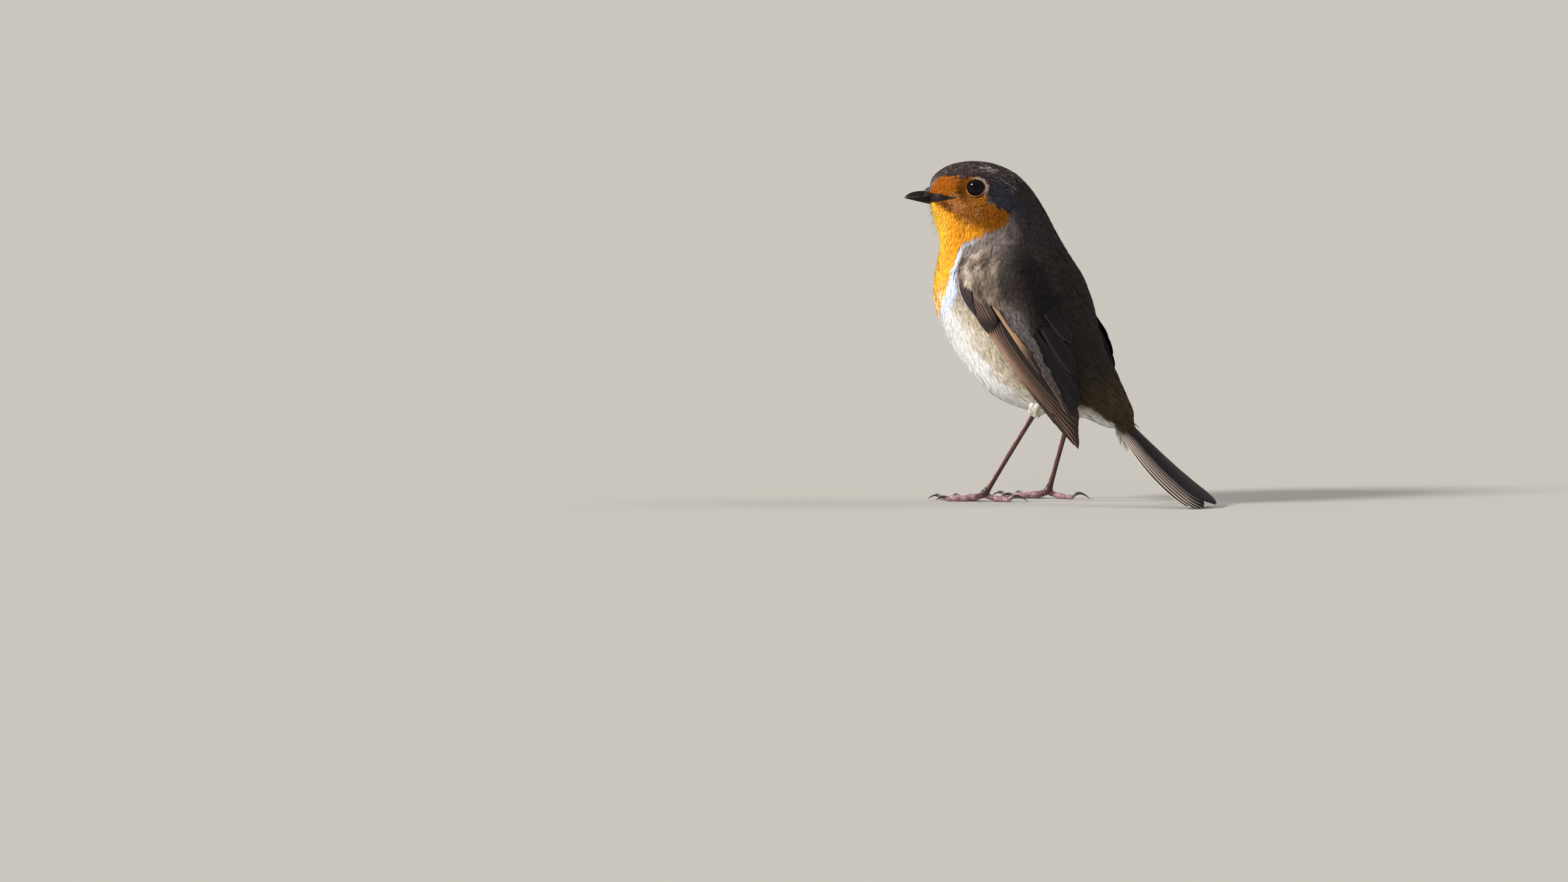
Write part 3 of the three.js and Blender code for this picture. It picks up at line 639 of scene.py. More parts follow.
# Outline of the orange face and breast on the left side: t and phi in degrees. The right side mirrors it.
ORANGE_EDGE = np.array([
    [-0.05, 64.0], [0.025, 62.0], [0.045, 52.0], [0.065, 45.0], [0.09, 45.5], [0.12, 49.0], [0.15, 52.0],
    [0.18, 53.0], [0.21, 52.0], [0.25, 58.0], [0.30, 68.0], [0.335, 64.0], [0.365, 57.0], [0.388, 58.0],
    [0.388, 64.0], [0.384, 71.0], [0.379, 77.0], [0.376, 82.0], [0.368, 89.0], [0.364, 95.0],
    [0.376, 100.0], [0.391, 105.0], [0.422, 112.0], [0.459, 118.0], [0.474, 128.0], [0.484, 140.0],
    [0.490, 152.0], [0.494, 168.0], [0.495, 215.0], [-0.05, 215.0],
])
MM_PER_T = 115.0
MM_PER_DEGREE = 0.25


def depth_in_outline(outline, t, side):
    """Distance inside a closed outline in millimetres, negative outside it."""
    scale = np.array([MM_PER_T, MM_PER_DEGREE])
    corners = outline * scale
    x = np.asarray(t) * MM_PER_T
    y = np.asarray(side) * MM_PER_DEGREE
    nearest = np.full(np.shape(x), 1e9)
    inside = np.zeros(np.shape(x), bool)
    for a, b in zip(corners, np.roll(corners, -1, axis=0)):
        run = b - a
        share = np.clip(((x - a[0]) * run[0] + (y - a[1]) * run[1]) / (run @ run), 0.0, 1.0)
        nearest = np.minimum(nearest, np.hypot(x - a[0] - share * run[0], y - a[1] - share * run[1]))
        crosses = (a[1] > y) != (b[1] > y)
        rise = np.where(b[1] == a[1], 1e-9, b[1] - a[1])
        inside ^= crosses & (x < run[0] * (y - a[1]) / rise + a[0])
    return np.where(inside, nearest, -nearest)


def plain_tint(t, side, blotch, grain):
    """Colour of the back, flanks and belly, without the orange and what borders it."""
    upper = layered(CROWN, (NAPE, smoothstep(t, 0.26, 0.38)), (BACK, smoothstep(t, 0.44, 0.56)),
                    (RUMP, smoothstep(t, 0.72, 0.88)))
    upper = upper * (1.0 + 0.12 * blotch + 0.10 * grain)[..., None]
    lower = layered(FLANK_EDGE, (FLANK, smoothstep(side + 6.0 * blotch, 84.0, 106.0)),
                    (WHITE, smoothstep(side + 7.0 * blotch, 104.0, 130.0)),
                    (NECK_SIDE, fade(t, 0.47, 0.54) * fade(side, 104.0, 122.0)),
                    (VENT, smoothstep(t, 0.84, 0.95) * 0.8))
    border = smooth_at(BACK_END, t)
    return mix(upper, lower, smoothstep(side + 5.0 * blotch, border - 8.0, border + 10.0))


def orange_tint(t, side, blotch, grain):
    """Colour of the orange parts: bright on the throat and breast, rusty on the forehead, with painted shade
    over the cheek above the line of the bill's shadow and in spots by the mouth and the eye.
    """
    # Above this line, where the bill's shadow falls, the cheek gets painted shade.
    shadow_line = smooth_at(CHEEK_SHADOW_END, np.clip(t / HEAD_END_T, 0.0, 1.0))
    orange = layered(ORANGE, (THROAT, smoothstep(side, 106.0, 124.0)),
                     (CHEEK_SHADOW, fade(side + 2.0 * grain, shadow_line - 6.0, shadow_line + 4.0) * fade(t, 0.385, 0.41)),
                     (FOREHEAD, fade(t, 0.12, 0.20) * fade(side, 78.0, 92.0)))
    for tint, most, spots in FACE_SPOTS:
        share = sum(strength * spot(t, side, middle, reach) for middle, reach, strength in spots)
        orange = mix(orange, tint, np.clip(share, 0.0, most))
    return orange * (1.0 + 0.18 * grain + 0.10 * blotch)[..., None]


def body_markings(t, phi):
    """Colour of the plumage at each place, the same for skin and feathers."""
    side = side_degrees(phi)
    points = BODY.at(t, phi, 3)
    blotch = mottle(points, 5.0, 3)
    grain = mottle(points, 1.6, 4)
    depth = depth_in_outline(ORANGE_EDGE, t, side)
    # Pale blue feathers border the orange, as a thin line on the neck and a broad band along the breast.
    broad = smoothstep(side, 94.0, 108.0)
    border = fade(-depth + 0.5 * blotch, lerp(0.5, 2.6, broad), lerp(1.4, 5.0, broad))
    border = smoothstep(-depth, -0.2, 0.3) * border
    border = border * smoothstep(side, 70.0, 86.0) * smoothstep(t, 0.34, 0.36) * fade(t, 0.52, 0.60)
    border_tint = mix(PALE_BLUE, PALE_GREY, smoothstep(side, 116.0, 136.0))
    ear = spot(t, side, (0.33, 52.0), (0.06, 12.0))
    collar = smoothstep(t, 0.365, 0.39) * fade(t + 0.01 * blotch, 0.45, 0.52)
    collar = collar * smoothstep(side + 4.0 * blotch, 44.0, 68.0) * fade(side, 104.0, 118.0)
    neck = NECK_SIDE * (1.0 + 0.22 * grain + 0.15 * blotch)[..., None]
    base = layered(plain_tint(t, side, blotch, grain), (border_tint, border * lerp(0.65, 1.0, broad)),
                   (BLUE_GREY, np.clip(ear * 1.1, 0.0, 0.85)),
                   (neck, 0.8 * collar * (1.0 - border)))
    # The orange has a ragged edge, most of all on the forehead, and thins out down the breast into flecks.
    ragged = depth + 0.55 * grain + 0.35 * blotch + 0.7 * grain * fade(t, 0.16, 0.24) * fade(side, 58.0, 66.0)
    # Painted glints on the feathers over the bill's root.
    glint_by_bill = spot(t, side, (0.03, 40.0), (0.03, 13.0))
    thin = smoothstep(t, 0.40, 0.47) * smoothstep(side, 112.0, 134.0) * smoothstep(grain + blotch, -0.3, 0.8)
    fleck = smoothstep(mottle(points, 2.6, 5), 0.62, 0.95) * smoothstep(t, 0.455, 0.48)
    fleck = fleck * fade(t, 0.53, 0.575) * smoothstep(side, 120.0, 134.0)
    tint = layered(base, (orange_tint(t, side, blotch, grain), smoothstep(ragged, -0.35, 0.35)),
                   (PALE_GLINT_STREAK, 0.55 * glint_by_bill), (WHITE, 0.9 * thin), (ORANGE, 0.75 * fleck))
    # A pale crescent lies round the back and the top of each eye.
    for sign in (1, -1):
        high, off, rise, across = eye_offsets(points, sign)
        behind = across * sign
        near = fade(off + 0.3 * grain, 3.65, 4.35) * (high > 0.0)
        crescent = mix(CRESCENT_FRONT, CRESCENT, smoothstep(behind, -1.2, 1.6))
        tint = mix(tint, crescent, near * smoothstep(rise + behind, 0.4, 2.6) * 0.92)
    return np.clip(tint, 0.0, 1.0)


# ---------- loose feathers ----------

PLUME_PATCH = 0.0015  # half the width of a feather's patch in the unwrap


def plumes(sheet, roots, length, width, turn, depth, barbs, barb_width, paint, random, patch_uv, lift=0.0,
           streak=0.14, swell=0.0, tone=0.10):
    """Loose-webbed feathers, each a bundle of fine barbs that leave its shaft on both sides.

    roots is u, v for each feather, turn its heading from u towards v in radians, and depth how far its root
    lies under the sheet. paint gives the colour at places on the sheet, and streak and tone are how much
    barbs and whole feathers differ from it. Returns what Parts.add takes.
    """
    count = len(roots)
    depth, barb_width, swell = (np.broadcast_to(value, (count,))[:, None, None]
                                for value in (depth, barb_width, swell))
    length, width = length[:, None], width[:, None]
    base = sheet.at(roots[:, 0], roots[:, 1])
    normal, du, dv = base[:, 3:6], base[:, 6:9], base[:, 9:12]
    forward = unit(du)
    aside = unit(np.cross(forward, normal))
    aside = aside * np.sign((aside * dv).sum(-1, keepdims=True))
    ahead = forward * np.cos(turn)[:, None] + aside * np.sin(turn)[:, None]
    step_ahead = steps_along(du, dv, ahead)[:, None, None]
    step_across = steps_along(du, dv, np.cross(normal, ahead))[:, None, None]
    place_across = (np.arange(barbs) + random.uniform(0.0, 1.0, (count, barbs))) / barbs * 2.0 - 1.0
    reach = 1.0 - 0.30 * place_across ** 2 + random.uniform(-0.20, 0.08, (count, barbs))
    start = np.maximum(reach - random.uniform(0.50, 0.85, (count, barbs)), 0.0)
    out = place_across * width / 2.0 * random.uniform(0.75, 1.15, (count, barbs))
    x = np.stack([0.25 * out, 0.72 * out, out], -1)
    y = np.stack([start, lerp(start, reach, 0.50), reach], -1) * length[..., None]
    place = roots[:, None, None] + x[..., None] * step_across + y[..., None] * step_ahead
    surface, up = sheet.beyond(place[..., 0], place[..., 1])
    share = y / length[..., None]
    jitter = random.uniform(-0.10, 0.05, (count, 1, 1)) + random.uniform(-0.06, 0.06, (count, barbs, 1))
    rise = np.power(np.clip(share, 0.0, 1.2), 0.70) * (1.0 + lift) + jitter * share
    camber = 0.06 * width[..., None] * (x / np.maximum(width[..., None] / 2.0, 1e-6)) ** 2
    height = depth * (rise - 1.0) - camber + swell * share
    line = surface + up * height[..., None]
    heading = unit(np.gradient(line, axis=2))
    roll = random.uniform(-0.25, 0.25, (count, barbs, 1, 1))
    flat = unit(np.cross(up, heading))
    wide = flat * np.cos(roll) + up * np.sin(roll)
    half = barb_width[..., None] / 2.0 * random.uniform(0.75, 1.25, (count, barbs, 1, 1))
    left = line[:, :, :2] - wide[:, :, :2] * half
    right = line[:, :, :2] + wide[:, :, :2] * half
    points = np.stack([left[:, :, 0], right[:, :, 0], left[:, :, 1], right[:, :, 1], line[:, :, 2]], 2)
    face_up = unit(np.cross(heading, wide))
    face_up = face_up * np.sign((face_up * up).sum(-1, keepdims=True))
    soft = unit(up * 0.78 + face_up * 0.22)
    left, right = soft - wide * 0.16, soft + wide * 0.16
    normals = np.stack([left[:, :, 0], right[:, :, 0], left[:, :, 1], right[:, :, 1], soft[:, :, 2]], 2)
    shades = random.uniform(1.0 - streak, 1.0 + streak, (count, barbs))
    shades = shades * random.uniform(1.0 - tone, 1.0 + tone, (count, 1))
    tint = paint(place[:, :, 1, 0], place[:, :, 1, 1]) * shades[..., None]
    # Barbs are darker at the root: partly the greyer base that feathers have, partly painted shade for the
    # depth of the coat.
    root_tone_and_depth_shade = np.array([0.90, 0.90, 1.0, 1.0, 1.04])[:, None]
    tints = np.clip(tint[:, :, None] * root_tone_and_depth_shade, 0.0, 1.0)
    patch = np.array([[-1.0, -1.0], [1.0, -1.0], [-1.0, 0.3], [1.0, 0.3], [0.0, 1.0]]) * PLUME_PATCH
    uvs = np.broadcast_to(patch_uv[:, None, None] + patch, (count, barbs, 5, 2))
    first = np.arange(count * barbs)[:, None] * 5
    triangles = np.concatenate([first + [0, 1, 3], first + [0, 3, 2], first + [2, 3, 4]])
    outward = np.cross(points[:, :, 1] - points[:, :, 0], points[:, :, 3] - points[:, :, 0])
    if (outward * up[:, :, 0]).sum(-1).mean() < 0.0:
        triangles = triangles[:, ::-1]
    return {"points": points, "faces": [triangles], "tint": tints.reshape(-1, 3), "uv": uvs.reshape(-1, 2),
            "normals": normals.reshape(-1, 3)}


def spaced_roots(sheet, u_range, v_range, density, random):
    """Evenly scattered places on a sheet; density(u, v) is how many feathers a square millimetre holds."""
    probe_u = random.uniform(*u_range, 4000)
    probe_v = random.uniform(*v_range, 4000)

    def crowd(u, v):
        read = sheet.at(u, v)
        return np.linalg.norm(np.cross(read[:, 6:9], read[:, 9:12]), axis=-1) * density(u, v)

    probe = crowd(probe_u, probe_v)
    total = probe.mean() * (u_range[1] - u_range[0]) * (v_range[1] - v_range[0])
    highest = probe.max() * 1.05
    tries = int(total * highest / max(probe.mean(), 1e-9)) + 1
    golden = np.array([0.7548776662, 0.5698402910])  # steps that never line up
    spots = (random.uniform(0.0, 1.0, 2) + np.arange(tries)[:, None] * golden) % 1.0
    u = lerp(u_range[0], u_range[1], spots[:, 0])
    v = lerp(v_range[0], v_range[1], spots[:, 1])
    kept = random.uniform(0.0, 1.0, tries) * highest < crowd(u, v)
    return np.stack([u[kept], v[kept]], -1)


# Length of the feathers over the back, the flank and the breast, at even steps of t.
LENGTH_ON_BACK = [1.4, 2.0, 2.5, 3.1, 3.8, 4.4, 5.0, 5.4, 5.6, 5.8, 5.6]
LENGTH_ON_FLANK = [1.0, 1.5, 2.0, 2.7, 3.4, 4.2, 5.0, 5.6, 5.8, 5.6, 5.0]
LENGTH_ON_BREAST = [0.9, 1.6, 2.3, 3.0, 3.4, 3.9, 4.6, 5.2, 5.6, 5.6, 5.2]


def feather_length(t, phi):
    side = side_degrees(phi)
    length = lerp(smooth_at(LENGTH_ON_BACK, t), smooth_at(LENGTH_ON_FLANK, t), smoothstep(side, 15.0, 70.0))
    length = lerp(length, smooth_at(LENGTH_ON_BREAST, t), smoothstep(side, 100.0, 150.0))
    points = BODY.at(t, phi, 3)
    for sign in (1, -1):
        high, off = eye_offsets(points, sign)[:2]
        length = length * np.where(high > 0.0, lerp(0.42, 1.0, smoothstep(off, 3.4, 6.2)), 1.0)
    return length


def under_wing(points):
    """True for places of the body well under a folded wing."""
    along, across = (axis.ravel() for axis in grid((0.04, 0.92), (0.0, 1.0), (30, 15)))
    well_in = (across > 0.16) & (across < 0.90) & (along > 0.10) & (along < 0.80)
    hidden = np.zeros(len(points), bool)
    for sign, wing in WINGS.items():
        spots = wing.at(along, across, 3)
        for begin in range(0, len(points), 4000):
            part = points[begin:begin + 4000]
            distance = np.linalg.norm(part[:, None] - spots[None], axis=-1)
            covered = well_in[distance.argmin(1)] & (distance.min(1) < 6.5) & (part[:, 0] * sign > 0.0)
            hidden[begin:begin + 4000] |= covered
    return hidden


# The bare horn that carries the bill back over the face: its upper edge, the mouth's line and its lower edge,
# in degrees from the back line, at even steps of t up to the corner of the mouth.
GAPE_END_T = 0.181
GAPE_EDGES = np.array([
    [64.0, 97.0, 146.0], [76.0, 98.0, 130.0], [84.0, 97.0, 118.0], [87.6, 94.2, 108.0], [88.4, 91.3, 99.5],
    [85.8, 87.2, 91.5], [82.7, 83.2, 84.0],
])


def on_gape(t, phi):
    """True on the bare horn at the corner of the mouth."""
    edges = smooth_at(GAPE_EDGES, t / GAPE_END_T)
    side = side_degrees(phi)
    return (t < GAPE_END_T) & (side > edges[..., 0]) & (side < edges[..., 2])


def on_eye(points):
    """True where a feather would stand on the lids or the eye."""
    covered = np.zeros(len(points), bool)
    for sign in (1, -1):
        high, off = eye_offsets(points, sign)[:2]
        covered |= (off < LID_OPENING + 0.34) & (high > 0.0)
    return covered


# Bands of the coat in degrees round the body, and lengths of it in t.
ABOVE, LEFT, RIGHT, BELOW = (-38.0, 38.0), (38.0, 122.0), (-122.0, -38.0), (122.0, 238.0)
ON_HEAD, ON_NECK, TO_BREAST = (0.0, 0.36), (0.36, 0.52), (0.36, 0.60)
ON_FLANK, BEHIND = (0.52, 1.0), (0.60, 1.0)
# Coat pieces: name, slot, t range, phi range in degrees, barbs of a feather, width of a barb.
COAT = [
    ("coat_face_left", "orange_plumage", ON_HEAD, LEFT, 22, 0.080),
    ("coat_face_right", "orange_plumage", ON_HEAD, RIGHT, 22, 0.080),
    ("coat_crown", "olive_plumage", ON_HEAD, ABOVE, 26, 0.095),
    ("coat_throat", "orange_plumage", ON_HEAD, BELOW, 22, 0.12),
    ("coat_neck_left", "olive_plumage", ON_NECK, LEFT, 26, 0.135),
    ("coat_neck_right", "olive_plumage", ON_NECK, RIGHT, 26, 0.135),
    ("coat_nape", "olive_plumage", TO_BREAST, ABOVE, 28, 0.15),
    ("coat_breast", "orange_plumage", TO_BREAST, BELOW, 30, 0.155),
    ("coat_flank_left", "pale_plumage", ON_FLANK, LEFT, 34, 0.165),
    ("coat_flank_right", "pale_plumage", ON_FLANK, RIGHT, 34, 0.165),
    ("coat_back", "olive_plumage", BEHIND, ABOVE, 34, 0.165),
    ("coat_belly", "pale_plumage", BEHIND, BELOW, 34, 0.165),
]
OVERLAP = 14.0  # feathers over a square as wide as a feather is long
HEAD_STREAK = 0.44  # how much the barbs of a feather differ on the head, and on the body
BODY_STREAK = 0.17


def coat_density(t, phi):
    return lerp(OVERLAP, 1.6 * OVERLAP, smoothstep(t, 0.34, 0.5)) / feather_length(t, phi) ** 2


def coat_tint(random, t, phi):
    """The markings, with odd barbs: pale flecks on the cheek, dark streaks on the crown, and painted glints
    as pale streaks on the crown and white streaks above and behind the eye.
    """
    tint = body_markings(np.clip(t, 0.0, 1.0), phi)
    side = side_degrees(phi)
    cheek = (t > 0.14) & (t < 0.31) & (side > 76.0) & (side < 100.0)
    above = (side < 44.0) & (t < 0.34)
    # Painted glints: pale streaks on the crown, and white streaks above and behind the eye where raised
    # feathers catch the light.
    crest_glint = spot(t, side, (0.250, 27.0), (0.016, 5.5))
    for odd, chance, share in ((FLECK, 0.10 * cheek, 0.55), (PALE_GLINT_STREAK, 0.12 * above, 0.6),
                               (WHITE, 0.5 * crest_glint, 0.5), (NOSTRIL, 0.25 * above, 0.6)):
        tint = mix(tint, odd, (random.uniform(0.0, 1.0, t.shape) < chance) * share)
    return tint


def dress_body():
    for number, (name, slot, t_range, degrees, barbs, barb_width) in enumerate(COAT):
        random = np.random.default_rng(100 + number)
        roots = spaced_roots(BODY, t_range, tuple(np.radians(degrees)), coat_density, random)
        points = BODY.at(roots[:, 0], roots[:, 1], 3)
        roots = roots[~(under_wing(points) | on_eye(points) | on_gape(roots[:, 0], roots[:, 1]))]
        t, phi = roots.T
        count = len(roots)
        length = feather_length(t, phi) * random.uniform(0.8, 1.2, count)
        width = length * random.uniform(0.30, 0.42, count)
        turn = random.normal(0.0, 0.13, count)
        wrapped = (phi + np.pi) % (2.0 * np.pi) - np.pi
        uv = np.stack([wrapped / (2.0 * np.pi) + 0.5, t], -1)
        barb_widths = barb_width * random.uniform(0.85, 1.15, count)
        parts = Parts()
        parts.add(**plumes(BODY, roots, length, width, turn, coat_depth(t) + 0.04, barbs, barb_widths,
                           partial(coat_tint, random), random, uv, tone=0.08,
                           streak=HEAD_STREAK if t_range == ON_HEAD else BODY_STREAK))
        parts.finish(name, PLUMAGE, slot)


# ---------- skin with its thighs and lids ----------

def thigh_surface(leg, s, angle, growth=0.0):
    """A point of a thigh, s of the way from its top to the heel."""
    top, heel = np.array(leg["thigh"]), np.array(leg["heel"])
    heading = unit(heel - top)
    side = unit(np.cross(heading, np.array([1.0, 0.0, 0.0])))
    other = np.cross(heading, side)
    radius = smooth_at([3.7, 3.4, 2.7, 1.8, 0.9], s / 1.1) + growth
    middle = top + (heel - top) * np.asarray(s)[..., None]
    ring = side * np.cos(angle)[..., None] + other * np.sin(angle)[..., None]
    return middle + ring * radius[..., None]


LID_DARK = colour(54, 33, 16)
LID_RIM = colour(236, 168, 132)
# Each row of a lid: distance beyond the opening, and height over the eyeball, from the inner edge outwards.
LID_PROFILE = [(-0.12, -0.06), (-0.04, 0.07), (0.07, 0.15), (0.18, 0.16), (0.34, 0.10), (0.62, 0.04),
               (1.0, -0.10), (1.5, -0.5)]
PLEATED_ROWS, BARE_ROWS = (2, 3, 4), (1, 2)


def lid(sign):
    """The lids: a soft ring round the eye, dark at its edge, with a bright bare rim below."""
    middle, axis, up, level = eye_frame(sign)
    angle = np.linspace(*WHOLE_TURN, 120, endpoint=False)
    aside, above = np.cos(angle), np.sin(angle) / LID_FLATNESS
    below = smoothstep(-np.sin(angle), -0.15, 0.45)
    back = np.cos(angle) * sign
    plumage = mix(CRESCENT_FRONT, CRESCENT, smoothstep(back, -0.4, 0.6))
    plumage = mix(LID_DARK, plumage, smoothstep(np.sin(angle) + back, 0.0, 0.9))
    rows, tints = [], []
    for k, (out, over) in enumerate(LID_PROFILE):
        off = LID_OPENING + out
        distance = np.minimum(off * np.hypot(aside, above), 3.6)
        pleats = 0.03 * np.sin(angle * 30.0) if k in PLEATED_ROWS else 0.0
        high = np.sqrt(EYE_RADIUS ** 2 - distance ** 2) + over + pleats
        oval = level * (off * aside)[:, None] + up * (off * above)[:, None]
        rows.append(middle + oval + axis * high[:, None])
        tints.append(layered(LID_DARK, (plumage, smoothstep(out, 0.05, 0.34)),
                             (CROWN, smoothstep(out, 0.4, 0.7)),
                             (LID_RIM, below * (0.85 if k in BARE_ROWS else 0.0))))
    return {"points": np.stack(rows), "faces": [grid_faces(len(rows), len(angle), ring=True, flip=True)],
            "tint": np.concatenate(tints), "uv": [0.5 - 0.25 * sign, 0.22]}


def build_skin():
    """One skin under the whole body, with its thighs and lids."""
    parts = Parts()
    t, phi = grid((0.0, 1.0), (-np.pi, np.pi), (170, 128), ring=True)
    read = BODY.at(t, phi, 6)
    points, faces = closed_loft(read[..., :3] - read[..., 3:6] * coat_depth(t)[..., None])
    tint = body_markings(t.ravel(), phi.ravel()) * 0.85
    uv = np.stack([phi.ravel() / (2.0 * np.pi) + 0.5, t.ravel()], -1)
    parts.add(points, faces, tint=with_ends(tint), uv=np.concatenate([uv, [[0.5, 0.0], [0.5, 1.0]]]))
    for leg in LEGS:
        s, angle = grid((0.0, 1.02), WHOLE_TURN, (14, 32), ring=True)
        parts.add(thigh_surface(leg, s, angle, -0.7), [grid_faces(*s.shape, ring=True)], tint=VENT * 0.7,
                  uv=[0.5, 0.99])
    for sign in (1, -1):
        parts.add(**lid(sign))
    parts.finish("skin", UNDER_DOWN, "olive_plumage",
                 ("head", "neck", "breast", "belly", "rump", "thigh_left", "thigh_right"))


def build_thigh_coat():
    parts = Parts()
    random = np.random.default_rng(70)
    for leg in LEGS:
        sheet = Sheet(partial(thigh_surface, leg), (0.0, 1.1), (-1.2 * np.pi, 1.2 * np.pi), (40, 80), 1.0)
        roots = spaced_roots(sheet, (0.02, 0.68), (-np.pi, np.pi), lambda s, a: 1.2 + 0.0 * s, random)
        s, angle = roots.T
        length = lerp(4.4, 1.7, s / 0.68) * random.uniform(0.7, 1.2, len(s))

        def paint(s, a, sheet=sheet):
            return mix(WHITE, FLANK, smoothstep(mottle(sheet.at(s, a, 3), 3.0, 9) + s, -0.2, 1.2)) * 0.92

        uv = np.stack([angle / (2.0 * np.pi) + 0.5, s * 0.9], -1)
        turn = random.normal(0.0, 0.16, len(s))
        parts.add(**plumes(sheet, roots, length, length * 0.45, turn, 0.7, 26, 0.12, paint, random, uv,
                           lift=0.4))
    parts.finish("coat_thighs", PLUMAGE, "pale_plumage")


# ---------- eyes and bill ----------

IRIS = colour(12, 8, 8)
PUPIL = colour(5, 4, 6)


def build_eye(sign, side):
    middle, axis, up, level = eye_frame(sign)
    polar, angle = grid((0.0, np.pi), WHOLE_TURN, (40, 64), ring=True)
    cornea = 0.16 * hill(polar, 0.0, 0.55)
    radius = EYE_RADIUS - 0.02 + cornea
    ring = level * np.cos(angle)[..., None] + up * np.sin(angle)[..., None]
    points = middle + (axis * np.cos(polar)[..., None] + ring * np.sin(polar)[..., None]) * radius[..., None]
    tint = mix(PUPIL, IRIS, smoothstep(polar.ravel(), 0.42, 0.50))
    parts = Parts()
    parts.add(points, [grid_faces(*polar.shape, ring=True, flip=True)], tint=tint)
    parts.finish(f"eye_{side}_ball", EYE_GLOSS, "eye", (f"eye_{side}",))


BILL_TINT = colour(24, 18, 23)
BILL_BASE_TINT = colour(44, 32, 30)
BILL_EDGE_TINT = colour(96, 76, 70)
NOSTRIL = colour(12, 9, 9)


def bill_form(share, angle, side):
    """Places x and z on half of the bill: share is the way to its tip, angle runs from its left edge."""
    fullness = 1.0 - 0.95 * np.power(np.maximum(share, 0.0), BILL_TOP_CURVE if side > 0 else BILL_LOW_CURVE)
    height = (BILL_TOP_HEIGHT if side > 0 else BILL_LOW_HEIGHT) * fullness
    half_width = BILL_HALF_WIDTH * np.power(1.0 - share * 0.985, 0.9) + 0.16
    half_width = half_width + 0.50 * fade(share, 0.24, 0.52)  # flares out to meet the gape
    meeting = lerp(BILL_EDGE_Z, BILL_TIP[1], share * np.abs(share)) + side * 0.04
    ridge = 1.0 + 0.05 * hill(angle, np.pi / 2, 0.22)
    slope = np.abs(np.sin(angle)) ** 1.12  # flatter sides than a half round
    x = half_width * np.cos(angle)
    lip = 0.10 * hill(np.minimum(angle, np.pi - angle), 0.0, 0.16)
    x = x + np.sign(x) * lip * (1.0 - share)
    return x, meeting + side * height * slope * ridge


def on_bill(x, share, z):
    return turned(np.stack([x, lerp(BILL_ROOT_Y, BILL_TIP[0], share), z], -1))


def bill_half(side):
    """Half of the bill, side 1 above and -1 below, with a ridge, cutting edges and a nostril's groove."""
    share, angle = grid((0.0, 1.0), (0.0, np.pi), (64, 33))
    share = 1.0 - (1.0 - share) ** 1.7  # closer together towards the blunt tip
    x, z = bill_form(share, angle, side)
    edge = hill(np.minimum(angle, np.pi - angle), 0.0, 0.20)
    tint = mix(BILL_TINT, BILL_EDGE_TINT, 0.5 * edge * smoothstep(share, 0.45, 0.7))
    if side > 0:
        for way in (0.62, np.pi - 0.62):
            near = spot(share, angle, (0.43, way), (0.06, 0.15))
            x = x * (1.0 - 0.16 * near)
            z = z - 0.22 * near
            tint = mix(tint, NOSTRIL, np.clip(near * 1.2 - 0.25, 0.0, 1.0))
    return on_bill(x, share, z), tint


def build_bill():
    """Both halves, each closed by a flat face where they meet."""
    for side, name, node in ((1, "upper_mandible", "bill_upper"), (-1, "lower_mandible", "bill_lower")):
        outer, tint = bill_half(side)
        left, right = outer[:, :1], outer[:, -1:]
        across = np.cos(np.linspace(0.0, np.pi, outer.shape[1]))[-2:0:-1, None]
        flat = (left + right) / 2.0 + (left - right) / 2.0 * across
        points, faces = closed_loft(np.concatenate([outer, flat], 1), flip=side < 0)
        tint = np.concatenate([tint, np.broadcast_to(BILL_TINT, flat.shape)], 1).reshape(-1, 3)
        parts = Parts()
        parts.add(points, faces, tint=with_ends(tint))
        parts.finish(name, HORN, "bill_horn", (node,))


def build_gape():
    """The horny corner of the mouth: starts flush on the bill and runs back over the face to a point."""
    for sign, name in ((1, "gape_left"), (-1, "gape_right")):
        way, across = grid((0.0, 1.0), (-1.0, 1.0), (80, 29))
        t = lerp(0.004, GAPE_END_T, np.clip((way - 0.22) / 0.78, 0.0, 1.0))
        edges = smooth_at(GAPE_EDGES, t / GAPE_END_T)
        margin = 2.0 * fade(way, 0.75, 1.0)
        upper, mouth, lower = edges[..., 0] - margin, edges[..., 1], edges[..., 2] + margin
        degrees = np.where(across < 0.0, mouth + across * (mouth - upper), mouth + across * (lower - mouth))
        read = BODY.at(t, sign * np.radians(degrees))
        before_point = np.clip((1.0 - way) / 0.25, 0.0, 1.0)
        relief = before_point * smoothstep(way, 0.20, 0.50)
        lip = 0.08 * hill(np.abs(across), 0.22, 0.16) * relief
        groove = 0.12 * hill(across, 0.0, 0.08) * relief
        height = 0.04 + lip - groove - 0.40 * smoothstep(np.abs(across), 0.72, 1.0)
        on_face = read[..., :3] + read[..., 3:6] * height[..., None]
        share = lerp(0.40, 0.20, np.clip(way / 0.34, 0.0, 1.0))
        top_x, top_z = bill_form(share, -across * 0.62, 1)
        low_x, low_z = bill_form(share, across * 0.94, -1)
        upper_half = across < 0.0
        start = on_bill(np.where(upper_half, top_x, low_x) * 1.006 * sign, share,
                        np.where(upper_half, top_z, low_z))
        points = lerp(start, on_face, smoothstep(way, 0.14, 0.36)[..., None])
        tint = layered(BILL_TINT, (BILL_BASE_TINT, 0.5 * smoothstep(way, 0.45, 0.95)),
                       (NOSTRIL, hill(across, 0.0, 0.07) * before_point))
        parts = Parts()
        parts.add(points, [grid_faces(*way.shape, flip=sign < 0)], tint=tint.reshape(-1, 3))
        parts.finish(name, HORN, "bill_horn")


